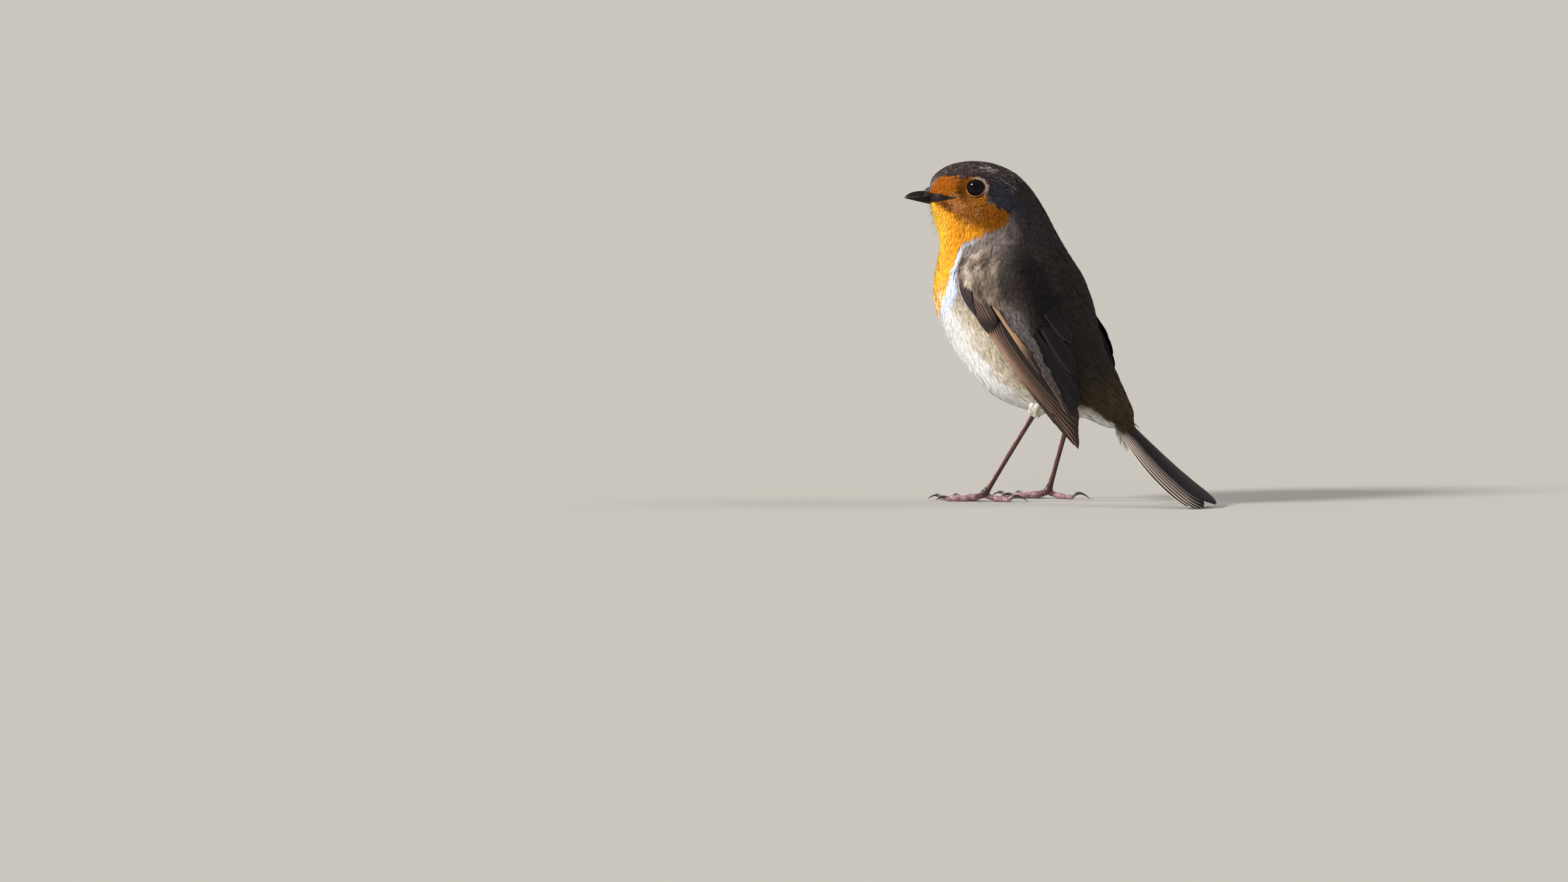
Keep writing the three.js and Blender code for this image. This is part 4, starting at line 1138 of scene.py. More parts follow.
def strand(start, heading, length, droop, radius, tint, steps=6):
    """A stiff bristle that bends down along its way."""
    share = np.linspace(0.0, 1.0, steps)[:, None]
    path = start + heading * length * share - UPWARD * droop * length * share ** 2
    points, faces = tube(path, lambda s, a: radius * (1.0 - 0.85 * s), 5, caps=False)
    return {"points": points, "faces": faces, "tint": tint, "uv": [0.5, 0.5]}


BRISTLE = colour(24, 19, 18)
FOREHEAD_STRANDS = (colour(150, 160, 184), colour(44, 42, 50), colour(120, 74, 24))


def build_bristles():
    """Bristles round the corners of the mouth and on the chin, and short feathers over the bill's root."""
    random = np.random.default_rng(31)
    parts = Parts()
    for sign in (1, -1):
        for k in range(16):
            read = BODY.at(random.uniform(0.012, 0.055), sign * math.radians(random.uniform(78.0, 128.0)))
            ahead = -unit(read[6:9]) * 0.9 + read[3:6] * random.uniform(0.35, 0.8)
            ahead = unit(ahead + random.normal(0.0, 0.12, 3))
            length = random.uniform(1.6, 3.4)
            parts.add(**strand(read[:3], ahead, length, random.uniform(0.1, 0.45), 0.055, BRISTLE))
    for k in range(26):
        read = BODY.at(random.uniform(0.01, 0.16), math.radians(random.uniform(150.0, 210.0)))
        ahead = unit(unit(read[6:9]) * random.uniform(0.1, 0.8) + read[3:6] + random.normal(0.0, 0.2, 3))
        parts.add(**strand(read[:3] - read[3:6] * 0.4, ahead, random.uniform(1.2, 2.6), 0.25, 0.042, BRISTLE))
    bill_root, bill_tip = (on_bill(0.0, share, z) for share, z in ((0.0, BILL_EDGE_Z), (1.0, BILL_TIP[1])))
    along_bill = unit(bill_tip - bill_root)
    for k in range(200):
        side = random.uniform(0.0, 78.0)
        read = BODY.at(random.uniform(0.0, 0.012), math.radians(side * random.choice([-1, 1])))
        ahead = unit(along_bill - 0.20 * UPWARD + random.normal(0.0, 0.09, 3))
        start = read[:3] - along_bill * 0.4 + read[3:6] * 0.05
        length = random.uniform(1.0, 2.0)
        kind = random.integers(0, 2) if side < 50.0 else random.integers(1, 3)
        parts.add(**strand(start, ahead, length, 0.08, 0.055, FOREHEAD_STRANDS[kind], 4))
    parts.finish("bristles", PLUMAGE, "bill_horn")


# ---------- firm feathers of the wings and tail ----------

# Places across a blade, from the front edge (-1) over the shaft (0) to the back edge (1).
BLADE_PLACES = np.array([-1.0, -0.86, -0.72, -0.50, -0.25, -0.06, 0.0, 0.06, 0.25, 0.50, 0.75, 0.90, 1.0])


def blade_tint(s, tints, end_tint, seed):
    """Colours over a blade's rows and places."""
    vane, front_edge, back_edge, shaft = tints
    s = s[:, None]
    off = np.abs(BLADE_PLACES)
    front = smoothstep(off, 0.55, 0.86) * (BLADE_PLACES < 0) + 0.0 * s
    back = smoothstep(off, 0.80, 1.0) * (BLADE_PLACES > 0)
    tint = vane * (1.0 + 0.06 * np.sin(s * 9.0 + seed))[..., None] + np.zeros((1, len(off), 1))
    if end_tint is not None:
        tint = mix(tint, end_tint, smoothstep(s, 0.50, 0.80))
        front = front * (1.0 - 0.8 * smoothstep(s, 0.55, 0.85))
    return layered(tint, (front_edge, front), (back_edge, np.maximum(back, smoothstep(s, 0.965, 1.0) * 0.8)),
                   (shaft, (off < 0.03) * 0.8))


def blade(sheet, line, webs, levels, sign, tints, seed, rows=44, tip=0.72, tip_power=2.2, thickness=0.06,
          end_tint=None):
    """One firm feather: a thin closed blade that lies along a line on a sheet.

    line is three (u, v) places, from base to tip. webs is the width in front of the shaft and behind it.
    levels is its height over the sheet at the base, a third of the way along and at the tip. tints is the
    colour of the vane, of the front edge, of the back edge and of the shaft, and end_tint that of the vane's
    last part.
    """
    random = np.random.default_rng(seed)
    s = np.linspace(0.0, 1.0, rows)
    a, b, c = (np.array(p, float) for p in line)
    middle = 2.0 * b - (a + c) / 2.0
    way = a * (1 - s[:, None]) ** 2 + 2.0 * middle * (s * (1 - s))[:, None] + c * s[:, None] ** 2
    read = sheet.at(way[:, 0], way[:, 1])
    shaft, normal = read[:, :3], unit(read[:, 3:6])
    to_back = unit(np.cross(normal, unit(np.gradient(shaft, axis=0)))) * sign
    step = steps_along(read[:, 6:9], read[:, 9:12], to_back)
    grow = np.sqrt(np.clip(s / 0.10, 0.0, 1.0))
    closing = np.clip((s - tip) / (1.0 - tip), 0.0, 1.0)
    shape = grow * np.power(np.clip(1.0 - closing ** tip_power, 0.0, 1.0), 0.75)
    in_front = BLADE_PLACES[None] < 0
    frayed = 1.0 - 0.03 * random.uniform(0.0, 1.0, (rows, 2))
    fray = np.where(np.abs(BLADE_PLACES)[None] > 0.8, np.where(in_front, frayed[:, :1], frayed[:, 1:]), 1.0)
    x = BLADE_PLACES[None] * np.where(in_front, webs[0], webs[1]) * shape[:, None] * fray
    place = way[:, None] + step[:, None] * x[..., None]
    surface, up = sheet.beyond(place[..., 0], place[..., 1])
    ridge = 0.07 * hill(BLADE_PLACES, 0.0, 0.05)
    body = thickness * (1.0 - BLADE_PLACES ** 2) * shape[:, None]
    ripple = 0.008 * np.sin(s[:, None] * 40.0 + np.abs(x) * 3.0 + seed) * np.abs(BLADE_PLACES)[None]
    level = lerp(levels[0], levels[1], smoothstep(s, 0.0, 0.35))
    level = lerp(level, levels[2], np.clip((s - 0.35) / 0.65, 0.0, 1.0))
    high = level[:, None] + ripple
    top = surface + up * (high + body / 2 + ridge)[..., None]
    low = surface + up * (high - body / 2)[..., None]
    tint = np.clip(blade_tint(s, tints, end_tint, seed), 0.0, 1.0)
    length = np.linalg.norm(np.diff(shaft, axis=0), axis=1).sum()
    web = np.stack(np.broadcast_arrays(x, (s * length)[:, None], seed * 1.37), -1)

    def round_it(above, below):
        """Rows over the blade's top, and back below it."""
        return np.concatenate([above, below[:, 1:-1][:, ::-1]], 1)

    points = round_it(top, low)
    v, u = grid((0.02, 0.98), (0.02, 0.98), points.shape[:2])
    return {"points": points, "faces": [grid_faces(*points.shape[:2], ring=True, flip=sign > 0)],
            "tint": round_it(tint, tint * 0.8).reshape(-1, 3), "uv": np.stack([u, v], -1).reshape(-1, 2),
            "extra": round_it(web, web).reshape(-1, 3)}


def add_blades(parts, blades):
    """Add blades to a piece, each with its own upright strip of the unwrap."""
    for k, item in enumerate(blades):
        item["uv"] = (item["uv"] + [k, 0.0]) / [len(blades), 1.0]
        parts.add(**item)


PRIMARY = colour(56, 43, 38)
PRIMARY_EDGE = colour(190, 150, 126)
SECONDARY = colour(40, 32, 33)
SECONDARY_EDGE = colour(138, 114, 98)
TERTIAL = colour(20, 15, 21)
TERTIAL_EDGE = colour(50, 42, 48)
TAN = colour(186, 148, 112)
ALULA = colour(46, 36, 37)
PRIMARY_COVERT = colour(66, 51, 47)
PRIMARY_COVERT_END = colour(32, 25, 26)
PALE_EDGE = colour(186, 176, 176)
SHAFT = colour(30, 24, 23)
COVERT = colour(132, 116, 103)
COVERT_PALE = colour(192, 178, 162)
# Painted shade in the hollows between the raised lumps of the small wing feathers.
COVERT_GAP_SHADE = colour(80, 69, 63)
COVERT_DARK = colour(66, 58, 54)
SCAPULAR = colour(34, 30, 33)
FRINGE = colour(152, 140, 142)
# Folded wing feathers, as places (along, across). The primaries' tips, from the lowest feather inwards.
PRIMARY_TIPS = [(0.865, 0.13), (0.920, 0.22), (0.958, 0.36), (0.982, 0.52), (0.972, 0.62), (0.948, 0.70),
                (0.922, 0.76), (0.893, 0.81), (0.866, 0.85)]
TERTIAL_LINES = [((0.36, 0.70), (0.58, 0.76), (0.760, 0.82)), ((0.31, 0.77), (0.49, 0.83), (0.632, 0.89)),
                 ((0.28, 0.82), (0.40, 0.89), (0.492, 0.940))]
MORE_TERTIAL_ON_RIGHT = ((0.30, 0.80), (0.45, 0.87), (0.565, 0.92))
TAN_LINE = ((0.30, 0.40), (0.45, 0.487), (0.61, 0.54))
ALULA_LINES = [((0.19, 0.15), (0.295, 0.120), (0.392, 0.145)), ((0.18, 0.18), (0.26, 0.160), (0.340, 0.185))]


def wing_blades(sign):
    """Every firm feather of a folded wing, from the lowest to the uppermost."""
    blades = []

    def add(number, line, webs, levels, tints, sheet=WINGS[sign], **form):
        seed = (10 if sign > 0 else 60) + number
        blades.append(blade(sheet, line, webs, levels, sign, tints, seed, **form))

    for k, tip_place in enumerate(PRIMARY_TIPS):
        share = k / 8.0
        level = lerp(-1.75, -0.95, share)
        line = [(0.40, lerp(0.15, 0.41, share)), (0.66, lerp(0.125, 0.52, share)), tip_place]
        edge = mix(PRIMARY_EDGE, SECONDARY_EDGE * 0.6, smoothstep(share, 0.35, 0.9))
        add(k, line, (lerp(0.95, 1.15, share), 3.0), (level, level, 0.42 * level),
            (PRIMARY * lerp(1.1, 0.55, share), edge, PRIMARY, SHAFT))
    add(12, TAN_LINE, (0.75, 3.0), (-0.88, -0.88, -0.60), (mix(TAN, SECONDARY, 0.25), TAN, SECONDARY, TAN),
        end_tint=SECONDARY)
    for k in range(1, 6):
        share = k / 5.0
        level = lerp(-0.88, -0.55, share)
        line = [(0.32, lerp(0.43, 0.58, share)), (0.56, lerp(0.555, 0.68, share)),
                (lerp(0.850, 0.80, share), lerp(0.66, 0.86, share))]
        inner = smoothstep(share, 0.1, 0.6)
        add(12 + k, line, (0.95, 3.0), (level, level, 0.60 * level),
            (mix(SECONDARY, TERTIAL, inner), mix(SECONDARY_EDGE, TERTIAL_EDGE, inner), TERTIAL_EDGE, SHAFT))
    tertials = list(TERTIAL_LINES)
    if sign < 0:
        tertials.insert(2, MORE_TERTIAL_ON_RIGHT)
    for k, line in enumerate(tertials):
        level = -0.34 + 0.13 * k
        add(20 + k, line, (2.5, 2.5), (level - 3.4, level, level),
            (TERTIAL, TERTIAL_EDGE, TERTIAL_EDGE, SHAFT), sheet=WING_COATS[sign], tip=0.56)
    for k in range(6):
        share = k / 5.0
        level = lerp(-0.62, -0.40, share)
        line = [(0.25, lerp(0.155, 0.335, share)), (0.36, lerp(0.150, 0.345, share)),
                (lerp(0.468, 0.412, share), lerp(0.165, 0.365, share))]
        tints = (PRIMARY_COVERT, mix(PRIMARY_COVERT, PRIMARY_EDGE, 0.32), PRIMARY_COVERT * 0.7, SHAFT)
        add(30 + k, line, (0.80, 1.4), (level, level, level), tints, tip=0.66, end_tint=PRIMARY_COVERT_END)
    for k, line in enumerate(ALULA_LINES):
        level = -0.30 + 0.14 * k
        add(40 + k, line, (1.1 - 0.2 * k, 2.3), (level - 1.6, level, level),
            (ALULA, PALE_EDGE if k == 0 else ALULA * 1.8, ALULA * 0.8, SHAFT), tip=0.60)
    return blades


def wing_base(sign):
    """A dark closed sheet under the feathers, so that no gap shows."""
    along, across = grid((0.10, 0.93), (0.0, 1.0), (60, 24))
    front = smooth_at([0.06, 0.06, 0.10, 0.17, 0.18, 0.30], along)
    back = smooth_at([0.95, 0.95, 0.95, 0.93, 0.86, 0.66], along)
    across = lerp(front, back, across)
    read = WINGS[sign].at(along, across, 6)
    coat = WING_COATS[sign].at(along, across, 3)
    sunk = ((read[..., :3] - coat) * read[..., 3:6]).sum(-1)
    to_tip = smoothstep(along, 0.4, 0.95)
    outer = read[..., :3] - read[..., 3:6] * np.maximum(sunk + 1.1, lerp(1.75, 0.75, to_tip))[..., None]
    inner = outer - read[..., 3:6] * lerp(1.0, 0.25, to_tip)[..., None]
    points = np.concatenate([outer, inner[:, ::-1]], 1)
    v, u = grid((0.0, 1.0), (0.0, 0.01), points.shape[:2])
    return {"points": points, "faces": [grid_faces(*points.shape[:2], ring=True, flip=sign > 0)],
            "tint": TERTIAL * 1.2, "uv": np.stack([u, v], -1).reshape(-1, 2), "extra": [0.0, 0.0, 0.0]}


# How far the small feathers of the wing reach along it, at even steps across it.
COVERT_LIMIT = [0.215, 0.225, 0.260, 0.325, 0.335, 0.355, 0.440, 0.445, 0.410, 0.375, 0.34]
# The middle of the soft fringe that runs on over the secondaries, at even steps of along from 0.38 to 0.72.
FRINGE_FROM, FRINGE_TO = 0.38, 0.72
FRINGE_MIDDLE = [0.560, 0.605, 0.618, 0.630, 0.642, 0.652]
FRINGE_HALF = [0.055, 0.045, 0.032, 0.024, 0.017, 0.010]


def puffs(points):
    """Where the small feathers of the wing stand in soft pale lumps (1) or part in hollows that get painted
    shade (-1).
    """
    return mottle(points * np.array([1.0, 1.0, 0.62]), 5.0, 21)


def covert_tint(sheet, along, across):
    """Colour of the small feathers of a wing."""
    points = sheet.at(along, across, 3)
    blotch = puffs(points)
    broad = mottle(points, 12.0, 22)
    soft = smoothstep(along, 0.30, 0.38) * smoothstep(across, 0.42, 0.50) * fade(across, 0.62, 0.70)
    neck = fade(along + 0.02 * broad, 0.0, lerp(0.08, 0.24, smoothstep(across, 0.25, 0.50)))
    bend = fade(across + 0.02 * blotch, 0.05, 0.10) * smoothstep(along, 0.02, 0.06) * fade(along, 0.27, 0.33)
    # The hollows between the lumps get painted shade.
    return layered(COVERT, (COVERT_PALE, smoothstep(blotch, -0.15, 0.7)),
                   (COVERT_GAP_SHADE, smoothstep(-blotch, 0.15, 0.85) * 0.8),
                   (COVERT_DARK, smoothstep(across + 0.05 * broad, 0.43, 0.60)),
                   (SCAPULAR, smoothstep(across + 0.04 * broad, 0.62, 0.78)), (FRINGE, soft * 0.35),
                   (mix(NECK_SIDE * 0.8, NAPE, smoothstep(across, 0.45, 0.78)), neck * 0.85),
                   (PALE_BLUE, bend * 0.85))


def in_fringe(along, across):
    share = (along - FRINGE_FROM) / (FRINGE_TO - FRINGE_FROM)
    return np.abs(across - smooth_at(FRINGE_MIDDLE, share)) < smooth_at(FRINGE_HALF, share)


def on_coverts(room, along, across):
    """True on the small feathers, at least some room before their ragged end."""
    return along < smooth_at(COVERT_LIMIT, across) - room + 0.012 * np.sin(across * 50.0)


def build_wing(sign, side):
    parts = Parts()
    parts.add(**wing_base(sign))
    add_blades(parts, wing_blades(sign))
    parts.finish("wing_feathers_" + side, VANE, "flight_feathers",
                 [f"wing_{kind}_{side}" for kind in ("coverts", "primaries", "secondaries")])
    random = np.random.default_rng(200 + sign)
    coat = Parts()

    def cover(sheet, u_range, v_range, density, length, width_share, turns, barbs, barb_width, depth, keep,
              paint):
        roots = spaced_roots(sheet, u_range, v_range, lambda u, v: density + 0.0 * u, random)
        roots = roots[keep(roots[:, 0], roots[:, 1])]
        along, across = roots.T
        long = length * random.uniform(0.8, 1.2, len(roots))
        uv = np.stack([across * 0.9 + 0.05, along * 0.95 + 0.02], -1)
        swell = 0.55 * puffs(sheet.at(along, across, 3)) * fade(across, 0.42, 0.60)
        turn = random.normal(*turns, len(roots))
        coat.add(**plumes(sheet, roots, long, long * width_share, turn, depth, barbs, barb_width, paint,
                          random, uv, streak=0.24, swell=swell))

    def fringe_tint(u, v):
        pale = random.uniform(0.0, 1.0, u.shape) * lerp(0.8, 0.5, smoothstep(u, 0.40, 0.66))
        return mix(SCAPULAR, FRINGE, pale)

    wing, soft = WINGS[sign], WING_COATS[sign]
    tint = partial(covert_tint, wing)
    cover(soft, (0.0, 0.44), (-0.05, 0.66), 1.05, 4.6, 0.40, (0.05, 0.16), 32, 0.150, 0.70,
          partial(on_coverts, 0.045), tint)
    cover(soft, (0.0, 0.44), (0.62, 1.0), 0.90, 5.2, 0.36, (0.06, 0.12), 32, 0.150, 0.70,
          partial(on_coverts, 0.05), tint)
    cover(wing, (0.34, 0.70), (0.40, 0.72), 1.7, 4.2, 0.22, (0.06, 0.12), 24, 0.11, 0.40, in_fringe,
          fringe_tint)
    coat.finish("coat_wing_" + side, PLUMAGE, "olive_plumage")


TAIL_TOP_TINT = colour(22, 16, 22)
# Colours of the outer webs of the tail's left side and of its right: a painted highlight where the sun
# catches the left side, and painted shade on the right.
SUNLIT_TAIL_EDGE = colour(212, 196, 182)
SHADED_TAIL_EDGE = colour(58, 50, 50)


def tail_blades(sign):
    """Half of the twelve tail feathers, from the outermost, which lies lowest, to the middle."""
    blades = []
    for k in reversed(range(6)):
        share = (k + 0.4) / 6.0
        reach = TAIL_LENGTH - TAIL_NOTCH * max(0.0, 1.0 - share / 0.34)
        reach = reach - TAIL_CORNER * max(0.0, (share - 0.34) / 0.66) ** 2
        level = -0.08 - 0.14 * k
        start = share * 0.55
        line = [(-3.0, sign * start), (reach * 0.5, sign * lerp(start, share, 0.75)),
                (reach - 0.3, sign * share * 0.97)]
        # The outer webs are painted pale on the lit left side and dark on the shaded right side.
        edge = mix(TAIL_TOP_TINT, SUNLIT_TAIL_EDGE if sign > 0 else SHADED_TAIL_EDGE, 0.15 + 0.17 * k)
        tints = (TAIL_TOP_TINT * (1.0 + 0.03 * k), edge, TAIL_TOP_TINT * 1.3, SHAFT)
        webs = (lerp(2.4, 1.35, k / 5.0), 2.9)
        blades.append(blade(TAIL_TOP, line, webs, (level - 0.9, level, level), sign, tints,
                            (100 if sign > 0 else 90) + k, rows=54, tip=0.86, tip_power=1.7))
    return blades


def build_tail():
    for sign, side in ((1, "left"), (-1, "right")):
        parts = Parts()
        add_blades(parts, tail_blades(sign))
        parts.finish("tail_feathers_" + side, VANE, "flight_feathers", ("tail_" + side,))
    random = np.random.default_rng(55)
    coat = Parts()
    for sheet, end, tint, lift in ((TAIL_TOP, 7.0, RUMP * 0.9, 0.3), (TAIL_UNDER, 13.0, VENT, 0.9)):
        roots = spaced_roots(sheet, (-5.0, end), (-1.0, 1.0), lambda s, q: 0.55 + 0.0 * s, random)
        count = len(roots)
        length = 6.4 * random.uniform(0.75, 1.15, count)
        uv = np.stack([roots[:, 1] * 0.4 + 0.5, (roots[:, 0] + 6.0) / 24.0], -1)
        turn = random.normal(0.0, 0.10, count)
        coat.add(**plumes(sheet, roots, length, length * 0.42, turn, 0.5, 46, 0.15,
                          lambda s, q, tint=tint: np.broadcast_to(tint, s.shape + (3,)), random, uv,
                          lift=lift))
    coat.finish("coat_tail", PLUMAGE, "olive_plumage")


# ---------- legs ----------

# The paler front colour is a painted highlight down the front of the shank; the dark colour is painted shade
# down its back, and also the dark grooves and mottling of the skin.
LEG_FRONT_HIGHLIGHT = colour(196, 164, 166)
LEG_TINT = colour(104, 62, 56)
LEG_DARK_AND_SHADE = colour(52, 30, 30)
FOOT_PINK = colour(164, 126, 132)
CLAW_TINT = colour(44, 38, 44)
CLAW_PALE = colour(128, 108, 108)


def toe_point(leg, angle, length, distance):
    """Places along a toe that comes down from the joint to the floor, and the way it points."""
    outward = math.radians(angle + leg["heading"])
    ahead = np.array([leg["sign"] * math.sin(outward), -math.cos(outward), 0.0])
    joint = np.array(leg["joint"])
    distance = np.asarray(distance, float)
    point = joint + distance[..., None] * ahead
    point[..., 2] = TOE_HEIGHT + (joint[2] - TOE_HEIGHT) * (1.0 - np.clip(distance / length, 0.0, 1.0)) ** 3
    return point, ahead


def on_floor(points):
    """The points with those that lie below the floor set flat on it."""
    return np.concatenate([points[:, :2], np.maximum(points[:, 2:], 0.0)], 1)


def plates(share, count, sharpness=0.8):
    """Overlapping plates along a leg or toe: a slow rise and a quick step, from 0 to 1."""
    return np.power((share * count) % 1.0, sharpness)


def shank_plates(share):
    return plates(share + 0.01 * np.sin(share * 31.0), 8.0)


def shank_radius(s, angle):
    ends = np.power(np.abs(s - 0.45) / 0.55, 3)
    front = shank_plates(s) * 0.05 * np.clip(np.cos(angle), 0.0, 1.0) ** 0.5
    back_edge = 0.10 * hill(angle, np.pi, 0.5)
    return SHANK_RADIUS * (0.92 + 0.32 * ends) + front - 0.03 + back_edge


def build_shank(leg):
    side = leg["side"]
    heel, joint = np.array(leg["heel"]), np.array(leg["joint"])
    down = joint - heel
    rows, around = 150, 28
    points, faces = tube(heel + down * np.linspace(-0.05, 1.0, rows)[:, None], shank_radius, around,
                         up=(0.0, -1.0, 0.25))
    tone = mottle(points, 3.5, 41)
    along = np.clip(((points - heel) @ down) / (down @ down), 0.0, 1.0)
    turn = np.append(np.tile(np.linspace(*WHOLE_TURN, around, endpoint=False), rows), [0.0, 0.0])
    groove = 0.30 * (shank_plates(along) < 0.10)
    # Painted light: a highlight down the shank's front and shade down its back, over the dark grooves between
    # its plates.
    tint = layered(LEG_TINT, (LEG_FRONT_HIGHLIGHT, smoothstep(np.cos(turn) + 0.3 * tone, 0.25, 0.9)),
                   (LEG_DARK_AND_SHADE, smoothstep(-np.cos(turn) + 0.3 * tone, 0.0, 0.8)),
                   (LEG_DARK_AND_SHADE, np.clip(0.15 + 0.15 * tone + groove, 0.0, 1.0)))
    parts = Parts()
    parts.add(points, faces, tint=tint)
    parts.finish("shank_scaled_" + side, LEG_SKIN, "leg_skin", ("shank_" + side,))


def toe_plates(share, length):
    return plates(share + 0.012 * np.sin(share * 23.0), length * 1.05)


def toe_radius(bones, length, s, turn):
    """Half width of a toe: thick at its knuckles, plated above, with soft pads and wrinkles below."""
    size = lerp(TOE_RADIUS[0], TOE_RADIUS[1] * 0.92, s)
    knuckle = 0.13 * np.cos(s * bones * 2.0 * np.pi)
    above = np.clip(np.cos(turn), 0.0, 1.0)
    below = np.clip(-np.cos(turn), 0.0, 1.0)
    plated = toe_plates(s, length) * 0.07 * above ** 0.4
    wrinkles = 0.03 * np.sin(s * length * 9.0 + 2.0 * np.sin(turn)) * (1.0 - above)
    pads = 0.14 * np.abs(np.sin(s * bones * np.pi)) * below
    end = np.clip((1.0 - s) / 0.14, 0.0, 1.0) ** 0.6
    return (size * 0.93 + knuckle + plated + wrinkles + pads - 0.03) * lerp(0.60, 1.0, end)


def toe(leg, angle, length, bones):
    rows, around = 120, 26
    path = toe_point(leg, angle, length, np.linspace(0.0, length + 0.15, rows))[0]
    points, faces = tube(path, partial(toe_radius, bones, length), around)
    along = with_ends(np.repeat(np.linspace(0.0, 1.0, rows), around))
    tone = mottle(points, 2.4, 43)
    dark = 0.35 * (toe_plates(along, length) < 0.12) + 0.35 * smoothstep(tone, 0.0, 1.0)
    tint = layered(LEG_TINT * 0.8, (FOOT_PINK, smoothstep(along + 0.2 * tone, 0.0, 0.5)), (LEG_DARK_AND_SHADE, dark))
    return {"points": on_floor(points), "faces": faces, "tint": tint}


def claw_radius(s, angle):
    return CLAW_RADIUS * (1.0 - 0.90 * s ** 1.1) * (1.0 + 0.20 * np.cos(angle * 2.0))


def build_claw(leg, name, angle, length, claw):
    """A claw that arches up from the toe's end and comes down to its point."""
    rows, around = 40, 20
    share = np.linspace(0.0, 1.0, rows)
    start, ahead = toe_point(leg, angle, length, length - 0.25)
    path = start + ahead * (claw * 0.88 + 0.5) * share[:, None]
    path[:, 2] = lerp(start[2] + 0.02, 0.36, share ** 2) + claw * 0.20 * np.sin(np.pi * share ** 0.85)
    points, faces = tube(path, claw_radius, around)
    tint = mix(CLAW_PALE, CLAW_TINT, smoothstep(with_ends(np.repeat(share, around)), 0.0, 0.35))
    parts = Parts()
    parts.add(on_floor(points), faces, tint=tint)
    parts.finish(f"claw_curved_{name}_{leg['side']}", CLAW_HORN, "claw_horn", (f"claw_{name}_{leg['side']}",))


def collar_radius(s, angle):
    return 1.02 + 0.42 * hill(s, 0.3, 0.28) + 0.05 * np.sin(angle * 7)


def build_leg(leg):
    build_shank(leg)
    side = leg["side"]
    joint = np.array(leg["joint"])
    up = unit(np.array(leg["heel"]) - joint)
    foot = Parts()
    path = joint + up * np.linspace(-0.6, 2.2, 24)[:, None]
    points, faces = tube(path, collar_radius, 28, up=(0.0, -1.0, 0.2))
    foot.add(on_floor(points), faces, tint=LEG_DARK_AND_SHADE * 1.25)
    for name, angle, length, claw, bones in TOES:
        foot.add(**toe(leg, angle, length, bones))
        build_claw(leg, name, angle, length, claw)
    foot.finish("foot_scaled_" + side, LEG_SKIN, "leg_skin",
                ["foot_" + side] + [f"toe_{name}_{side}" for name, *_ in TOES])


# ---------- building ----------

build_skin()
dress_body()
build_thigh_coat()
build_eye(1, "left")
build_eye(-1, "right")
build_bill()
build_gape()
build_bristles()
build_wing(1, "left")
build_wing(-1, "right")
build_tail()
for one_leg in LEGS:
    build_leg(one_leg)


# ---------- floor, light and camera ----------

def build_floor():
    bpy.ops.mesh.primitive_plane_add(size=24.0, location=(0.0, 0.0, 0.0))
    floor = bpy.context.object
    floor.name = "floor"
    material, tree, shader = new_material("pale_floor", 0.7, specular=0.2)
    shader.inputs["Base Color"].default_value = (0.46, 0.45, 0.42, 1.0)
    floor.data.materials.append(material)


def sun_light(name, towards, strength, angle, tint, seen_in_gloss):
    """A soft light from far away; towards points from the bird to the light."""
    data = bpy.data.lights.new(name, "SUN")
    data.energy = strength
    data.angle = math.radians(angle)
    data.color = tint
    light = bpy.data.objects.new(name, data)
    light.rotation_euler = Vector(towards).to_track_quat("Z", "Y").to_euler()
    light.visible_glossy = seen_in_gloss
    bpy.context.scene.collection.objects.link(light)


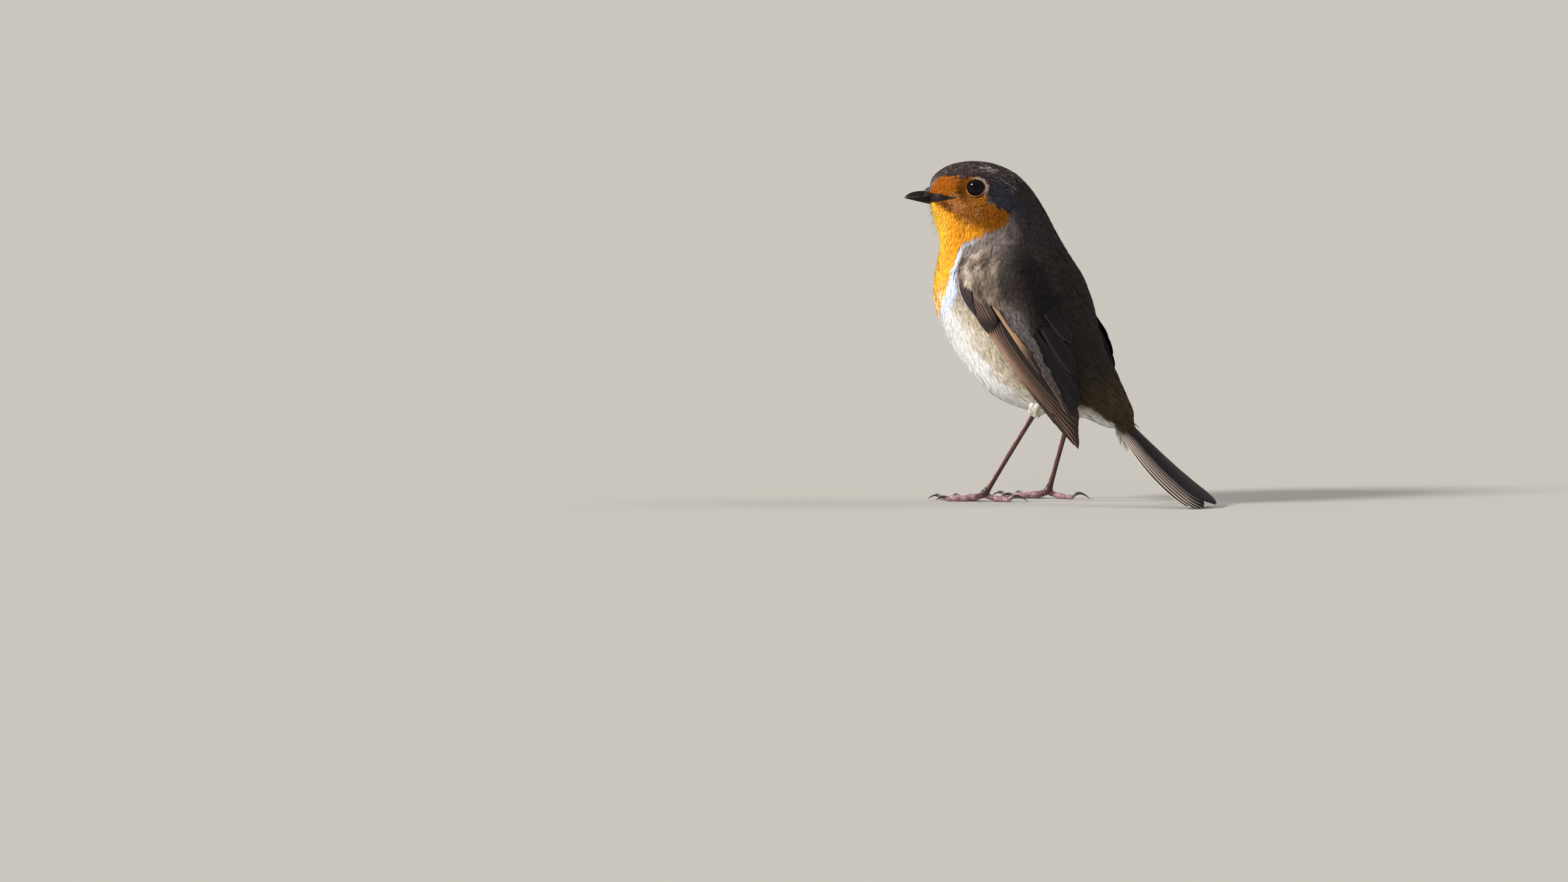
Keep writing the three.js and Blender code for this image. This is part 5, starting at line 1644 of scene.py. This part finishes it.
# Name, direction towards the light, strength, angle across it, colour, and whether gloss shows it.
SUNS = [
    ("key", (0.60, -0.74, 0.60), 3.7, 12.0, (1.0, 0.96, 0.90), True),
    ("side", (0.90, 0.30, 0.35), 0.30, 40.0, (0.95, 0.97, 1.0), False),
    ("low", (0.45, -0.89, 0.08), 1.2, 60.0, (0.97, 0.98, 1.0), False),
    ("rim", (-0.55, 0.75, 0.8), 0.9, 25.0, (1.0, 0.97, 0.94), False),
]


def build_light():
    world = bpy.data.worlds.new("studio")
    world.use_nodes = True
    background = world.node_tree.nodes["Background"]
    background.inputs["Color"].default_value = (0.90, 0.89, 0.87, 1.0)
    background.inputs["Strength"].default_value = 0.46
    bpy.context.scene.world = world
    for sun in SUNS:
        sun_light(*sun)


CAMERA_AZIMUTH = math.radians(115.0)
CAMERA_ELEVATION = math.radians(4.0)
LENS = 300.0
FRAME_WIDTH = 0.4954  # metres across the picture at the bird
SENSOR = 36.0
AIM_RIGHT = -77.3  # the picture's middle from the drawing origin, in mm to the right and up
AIM_UP = 18.75


def build_camera():
    right = np.array([math.cos(CAMERA_AZIMUTH), math.sin(CAMERA_AZIMUTH), 0.0])
    level = math.cos(CAMERA_ELEVATION)
    back = np.array([math.sin(CAMERA_AZIMUTH) * level, -math.cos(CAMERA_AZIMUTH) * level,
                     math.sin(CAMERA_ELEVATION)])
    up = np.cross(back, right)
    aim = (PLACE + right * AIM_RIGHT + up * AIM_UP) * MM
    distance = FRAME_WIDTH * LENS / SENSOR
    data = bpy.data.cameras.new("camera")
    data.lens = LENS
    data.sensor_width = SENSOR
    data.clip_start = 0.05
    data.clip_end = 60.0
    camera = bpy.data.objects.new("camera", data)
    camera.matrix_world = Matrix(((right[0], up[0], back[0], 0.0), (right[1], up[1], back[1], 0.0),
                                  (right[2], up[2], back[2], 0.0), (0.0, 0.0, 0.0, 1.0)))
    camera.location = Vector(aim + back * distance)
    bpy.context.scene.collection.objects.link(camera)
    bpy.context.scene.camera = camera


build_floor()
build_light()
build_camera()
bpy.context.scene.view_settings.view_transform = "Standard"
